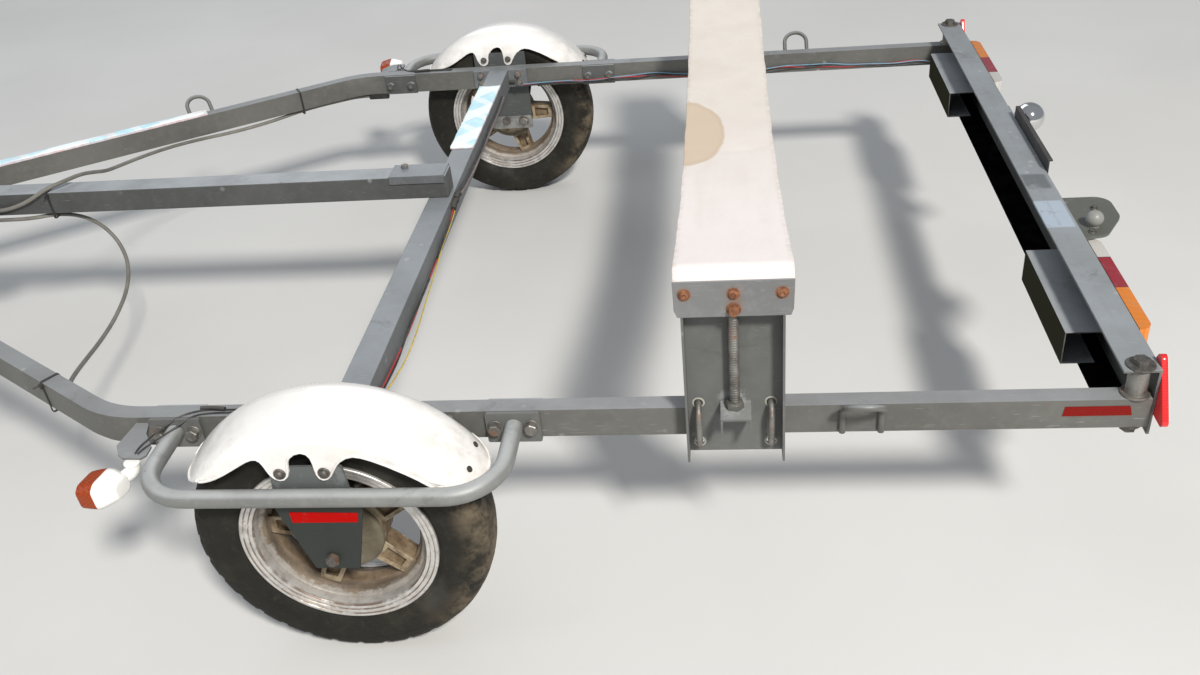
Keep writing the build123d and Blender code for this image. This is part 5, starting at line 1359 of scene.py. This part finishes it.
# ------------------------------------------------------------------- ties
def tie(b, centre, along, half_w, half_h, drop=0.0, head=(1, 0)):
    """a plastic tie round a tube that runs along a direction in plan; drop widens it below for a cable"""
    c = Vector(centre)
    t = Vector((along[0], along[1], 0)).normalized()
    u = Vector((-t.y, t.x, 0))
    z = Vector((0, 0, 1))
    corners = [(-half_w, -half_h - drop), (half_w, -half_h - drop), (half_w, half_h), (-half_w, half_h)]
    pts, nrm = [], []
    for i, (a, h) in enumerate(corners):
        nx, nz = math.copysign(1, a), (1 if h > 0 else -1)
        start = {(-1, -1): 180, (1, -1): 270, (1, 1): 0, (-1, 1): 90}[(int(nx), nz)]
        for k in range(4):
            ang = math.radians(start + 30 * k)
            d = u * math.cos(ang) + z * math.sin(ang)
            pts.append(c + u * (a - nx * 1.8) + z * (h - nz * 1.8) + d * 2.2)
            nrm.append(d)
    b.strap(pts, nrm, t, 4.4, 1.1)
    # head block and the short tail
    hc = c + u * (half_w + 2.6) * head[0] + z * (half_h - 6) if head[0] else c
    if head[0]:
        m = Matrix.Translation(hc) @ Matrix((tuple(t) + (0,), tuple(u) + (0,), tuple(z) + (0,), (0, 0, 0, 1))).transposed().to_4x4()
        b.box(-3.6, 3.6, -2.2, 2.4, -4, 4, 0.8, m)
        b.box(-2.0, 2.0, 1.0, 12.0, 2.0, 3.1, 0.3, m)


def ties():
    b = Build()
    a = math.radians(33.2)
    for s, d in ((1, 170.0), (-1, 160.0)):
        c = (357.6 + d * math.cos(a), s * (705.5 - d * math.sin(a)), 338.5)
        tie(b, c, (math.cos(a), -s * math.sin(a), 0), 14.2, 23.2, 9.5, (-1 if s < 0 else 1, 0))
    tie(b, (800, 0, 384.7), (1, 0, 0), 25.2, 23.5, 9.0, (1, 0))
    tie(b, (12, 0, 384.7), (1, 0.12, 0), 0.1, 0.1, 0.0, (0, 0)) if False else None
    h = b.done("cable_ties", "black_plastic")


ties()


# ------------------------------------------------------------------ wires
def thin(name, pts, r, mat):
    o = spline_curve(name, pts, r, mat)
    o.data.bevel_resolution = 2
    o.data.splines[0].resolution_u = 6
    return o


# along the crossmember's rear face, from the drawbar's end to the left rail
thin("wire_cross_red", [(-29, 20, 352), (-30.5, 60, 341), (-29.5, 140, 333), (-31, 230, 330), (-30, 330, 326), (-31, 430, 322), (-29.5, 520, 324), (-30, 600, 329), (-29, 660, 335), (-30, 680, 338)], 1.3, "wire_red")
thin("wire_cross_black", [(-30.5, 24, 348), (-29, 70, 337), (-31, 150, 337), (-29, 250, 326), (-31.5, 340, 329), (-29, 440, 326), (-31, 530, 320), (-29.5, 610, 326), (-31, 662, 332), (-30, 680, 335)], 2.3, "wire_black")
thin("wire_cross_yellow", [(-31.5, 22, 345), (-32, 80, 334), (-29.5, 160, 330), (-33, 240, 322), (-34, 330, 316), (-37, 420, 309), (-38, 500, 308), (-34, 580, 315), (-31, 650, 329), (-31, 680, 333)], 1.3, "wire_yellow")
thin("wire_cross_bundle", [(-29.6, -560, 340), (-30.4, -470, 334), (-29.4, -380, 338), (-30.6, -280, 333), (-29.6, -180, 337), (-30.6, -90, 341), (-30, -30, 350), (-29, 10, 354)], 2.2, "wire_black")
thin("wire_cross_grey", [(-31, -565, 337), (-29.4, -480, 330), (-31, -370, 333), (-29.4, -270, 329), (-31, -170, 332), (-29.6, -80, 336), (-31, -20, 346), (-30, 14, 350)], 1.6, "wire_pale")

# along both rails' inner faces to the rear beam, drooping a little between clips
for s in (1, -1):
    for nm, off, r, mt, ph in (("red", 0.0, 1.4, "wire_red", 0.0), ("blue", 3.2, 1.4, "wire_blue", 1.3), ("black", -2.6, 1.8, "wire_black", 2.1)):
        pts = [(-60, s * 684, 322 + off * 0.6)]
        x = -130
        k = 0
        while x > -1040:
            near_post = -650 < x < -470
            yy = 689.3 - abs(off) * 0.35
            if -300 < x < -200:
                yy = 676.5
            if near_post:
                yy = 676.0
            if -360 < x < -300 or -200 < x < -150:
                yy = 684.0
            if -680 < x <= -650 or -470 <= x < -440:
                yy = 684.0
            pts.append((x, s * yy, 326 + off + 4.2 * math.sin(x / 61.0 + ph) + (2.0 if k % 2 else -1.0)))
            x -= 52
            k += 1
        pts += [(-1052, s * (684 - off * 0.3), 324 + off), (-1078, s * (676 - off), 322 + off * 0.5)]
        thin("wire_rail_%s_%s" % ("left" if s > 0 else "right", nm), pts, r, mt)

# two black leads over the rail's top to each signal, with a taped joint
for s in (1, -1):
    nm = "left" if s > 0 else "right"
    thin("wire_signal_a_" + nm, [(120, s * 704, 363), (165, s * 707, 363), (205, s * 704, 363), (236, s * 715, 363), (258, s * 733, 357.5), (272, s * 758, 353.8), (280, s * 780, 353.4), (279, s * 792, 353)], 1.35, "wire_black")
    thin("wire_signal_b_" + nm, [(118, s * 709, 363), (160, s * 713, 363), (200, s * 713.5, 363), (224, s * 720, 362.6), (245, s * 740, 354.5), (260, s * 762, 353.4), (272, s * 782, 353.4), (275, s * 793, 353)], 1.3, "wire_black")
b = Build()
for s in (1, -1):
    b.tube([(176, s * 706, 364.5), (188, s * 705, 365), (200, s * 703.6, 364.8), (214, s * 703.4, 364.5)], 3.4, 12)
    b.tube([(-40, s * 683.5, 330), (-33, s * 683, 331), (-22, s * 682.8, 331.5), (-14, s * 683, 331)], 5.0, 12)
b.tube([(-31, 14, 350), (-30, 22, 351), (-29.5, 32, 350), (-30, 44, 346)], 6.0, 14)
b.tube([(-31, -10, 352), (-30, 0, 353.5), (-29.5, 12, 352)], 6.4, 14)
h = b.done("tape_wraps", "black_rubber")


# -------------------------------------------------------- pads and strips
def strip_pad(name, node, corners_list, mat="carpet"):
    """a cloth-covered strip of thin board, its top a little crowned and its edges frayed"""
    bm = bmesh.new()
    for corners, seed in corners_list:
        r = random.Random(seed)
        p0, p1, p2, p3 = [Vector((*c, 0)) for c in corners]      # p0-p1 across at the start, p3-p2 across at the end
        n_l, n_w = int((p3 - p0).length / 5.0), 8
        z0, t = 361.9, 6.6
        grid = []
        for i in range(n_l + 1):
            row = []
            u = i / n_l
            a = p0.lerp(p3, u)
            c = p1.lerp(p2, u)
            for j in range(n_w + 1):
                v = j / n_w
                q = a.lerp(c, v)
                e = min(v, 1 - v) * 2
                eu = min(u, 1 - u) * n_l / 2.0
                h = t * min(1.0, 0.7 + 0.3 * (1 - (1 - min(e * 4.0, 1.0)) ** 2.2)) * (0.35 + 0.65 * min(1.0, eu))
                h += 0.35 * math.sin(u * n_l * 0.21 + j) + 0.3 * r.uniform(-1, 1)
                if j in (0, n_w):
                    q = q + (c - a).normalized() * (r.uniform(-0.9, 0.5) if j == 0 else r.uniform(-0.5, 0.9))
                    h = t * 0.70
                row.append(bm.verts.new(L(q.x, q.y, z0 + max(0.3, h))))
            grid.append(row)
        for i in range(n_l):
            for j in range(n_w):
                bm.faces.new((grid[i][j], grid[i + 1][j], grid[i + 1][j + 1], grid[i][j + 1]))
        # underside
        low = [[bm.verts.new(L(v.co.x * 1000 + SHIFT, v.co.y * 1000, z0)) for v in (row[0], row[-1])] for row in grid]
        for i in range(n_l):
            bm.faces.new((low[i][0], low[i][1], low[i + 1][1], low[i + 1][0]))
            bm.faces.new((grid[i][0], low[i][0], low[i + 1][0], grid[i + 1][0]))
            bm.faces.new((low[i][1], grid[i][-1], grid[i + 1][-1], low[i + 1][1]))
        bm.faces.new([v for v in grid[0]] + [low[0][1], low[0][0]])
        bm.faces.new([v for v in reversed(grid[-1])] + [low[-1][0], low[-1][1]])
    bmesh.ops.recalc_face_normals(bm, faces=bm.faces[:])
    me = bpy.data.meshes.new(name)
    bm.to_mesh(me)
    bm.free()
    o = link(name, me, mat, "chassis", 55)
    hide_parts(node)
    return o


a_ = math.radians(33.2)
rp = [(357.6 + d * math.cos(a_) + w * math.sin(a_), 705.5 - d * math.sin(a_) + w * math.cos(a_)) for d, w in ((385.0, -13), (385.0, 13), (1010.0, 13), (1010.0, -13))]
strip_pad("rail_strip_cloth", "rail_pads", [(rp, 1), ([(x, -y) for x, y in rp], 2)])
strip_pad("crossmember_cloth", "crossmember_pad", [([(-26.5, -569), (23.5, -569), (23.5, -209), (-26.5, -209)], 3)])

# --------------------------------------------------------- stage and light
def area(name, loc, target, size, power, color=(1, 1, 1), shape="SQUARE", size_y=None):
    li = bpy.data.lights.new(name, "AREA")
    li.energy = power
    li.size = size
    li.color = color
    if size_y:
        li.shape = "RECTANGLE"
        li.size_y = size_y
    o = bpy.data.objects.new(name, li)
    o.location = loc
    d = Vector(target) - Vector(loc)
    o.rotation_euler = d.to_track_quat("-Z", "Y").to_euler()
    scene.collection.objects.link(o)


def stage():
    me = bpy.data.meshes.new("floor")
    bm = bmesh.new()
    n = 24
    R = 14.0
    vs = [[bm.verts.new((-R + 2 * R * i / n, -R + 2 * R * j / n, 0.0)) for j in range(n + 1)] for i in range(n + 1)]
    for i in range(n):
        for j in range(n):
            bm.faces.new((vs[i][j], vs[i + 1][j], vs[i + 1][j + 1], vs[i][j + 1]))
    bm.to_mesh(me)
    bm.free()
    o = bpy.data.objects.new("floor", me)
    scene.collection.objects.link(o)
    m = Mat("floor_pale")
    col = m.mix(m.band(m.noise(1.2, 4, 0.5), 0.35, 0.7), (0.60, 0.595, 0.58), (0.635, 0.63, 0.615))
    m.set(color=col, rough=0.9, spec=0.2)
    me.materials.append(m.m)
    w = bpy.data.worlds.new("studio")
    scene.world = w
    w.use_nodes = True
    bg = w.node_tree.nodes["Background"]
    bg.inputs[0].default_value = (0.86, 0.92, 1.0, 1.0)
    bg.inputs[1].default_value = 0.34
    # the sun's side: behind the camera to the right
    area("key", (-3.5, 5.3, 5.8), (-0.4, 0.0, 0.3), 0.9, 740, (1.0, 0.965, 0.91))
    area("fill", (4.5, 1.5, 3.6), (0.2, 0, 0.3), 4.0, 60, (0.9, 0.95, 1.0))
    area("back", (0.5, -5.0, 3.8), (0, 0, 0.3), 4.0, 70, (0.95, 0.97, 1.0))


stage()
scene.view_settings.view_transform = "Standard"
scene.view_settings.look = "None"
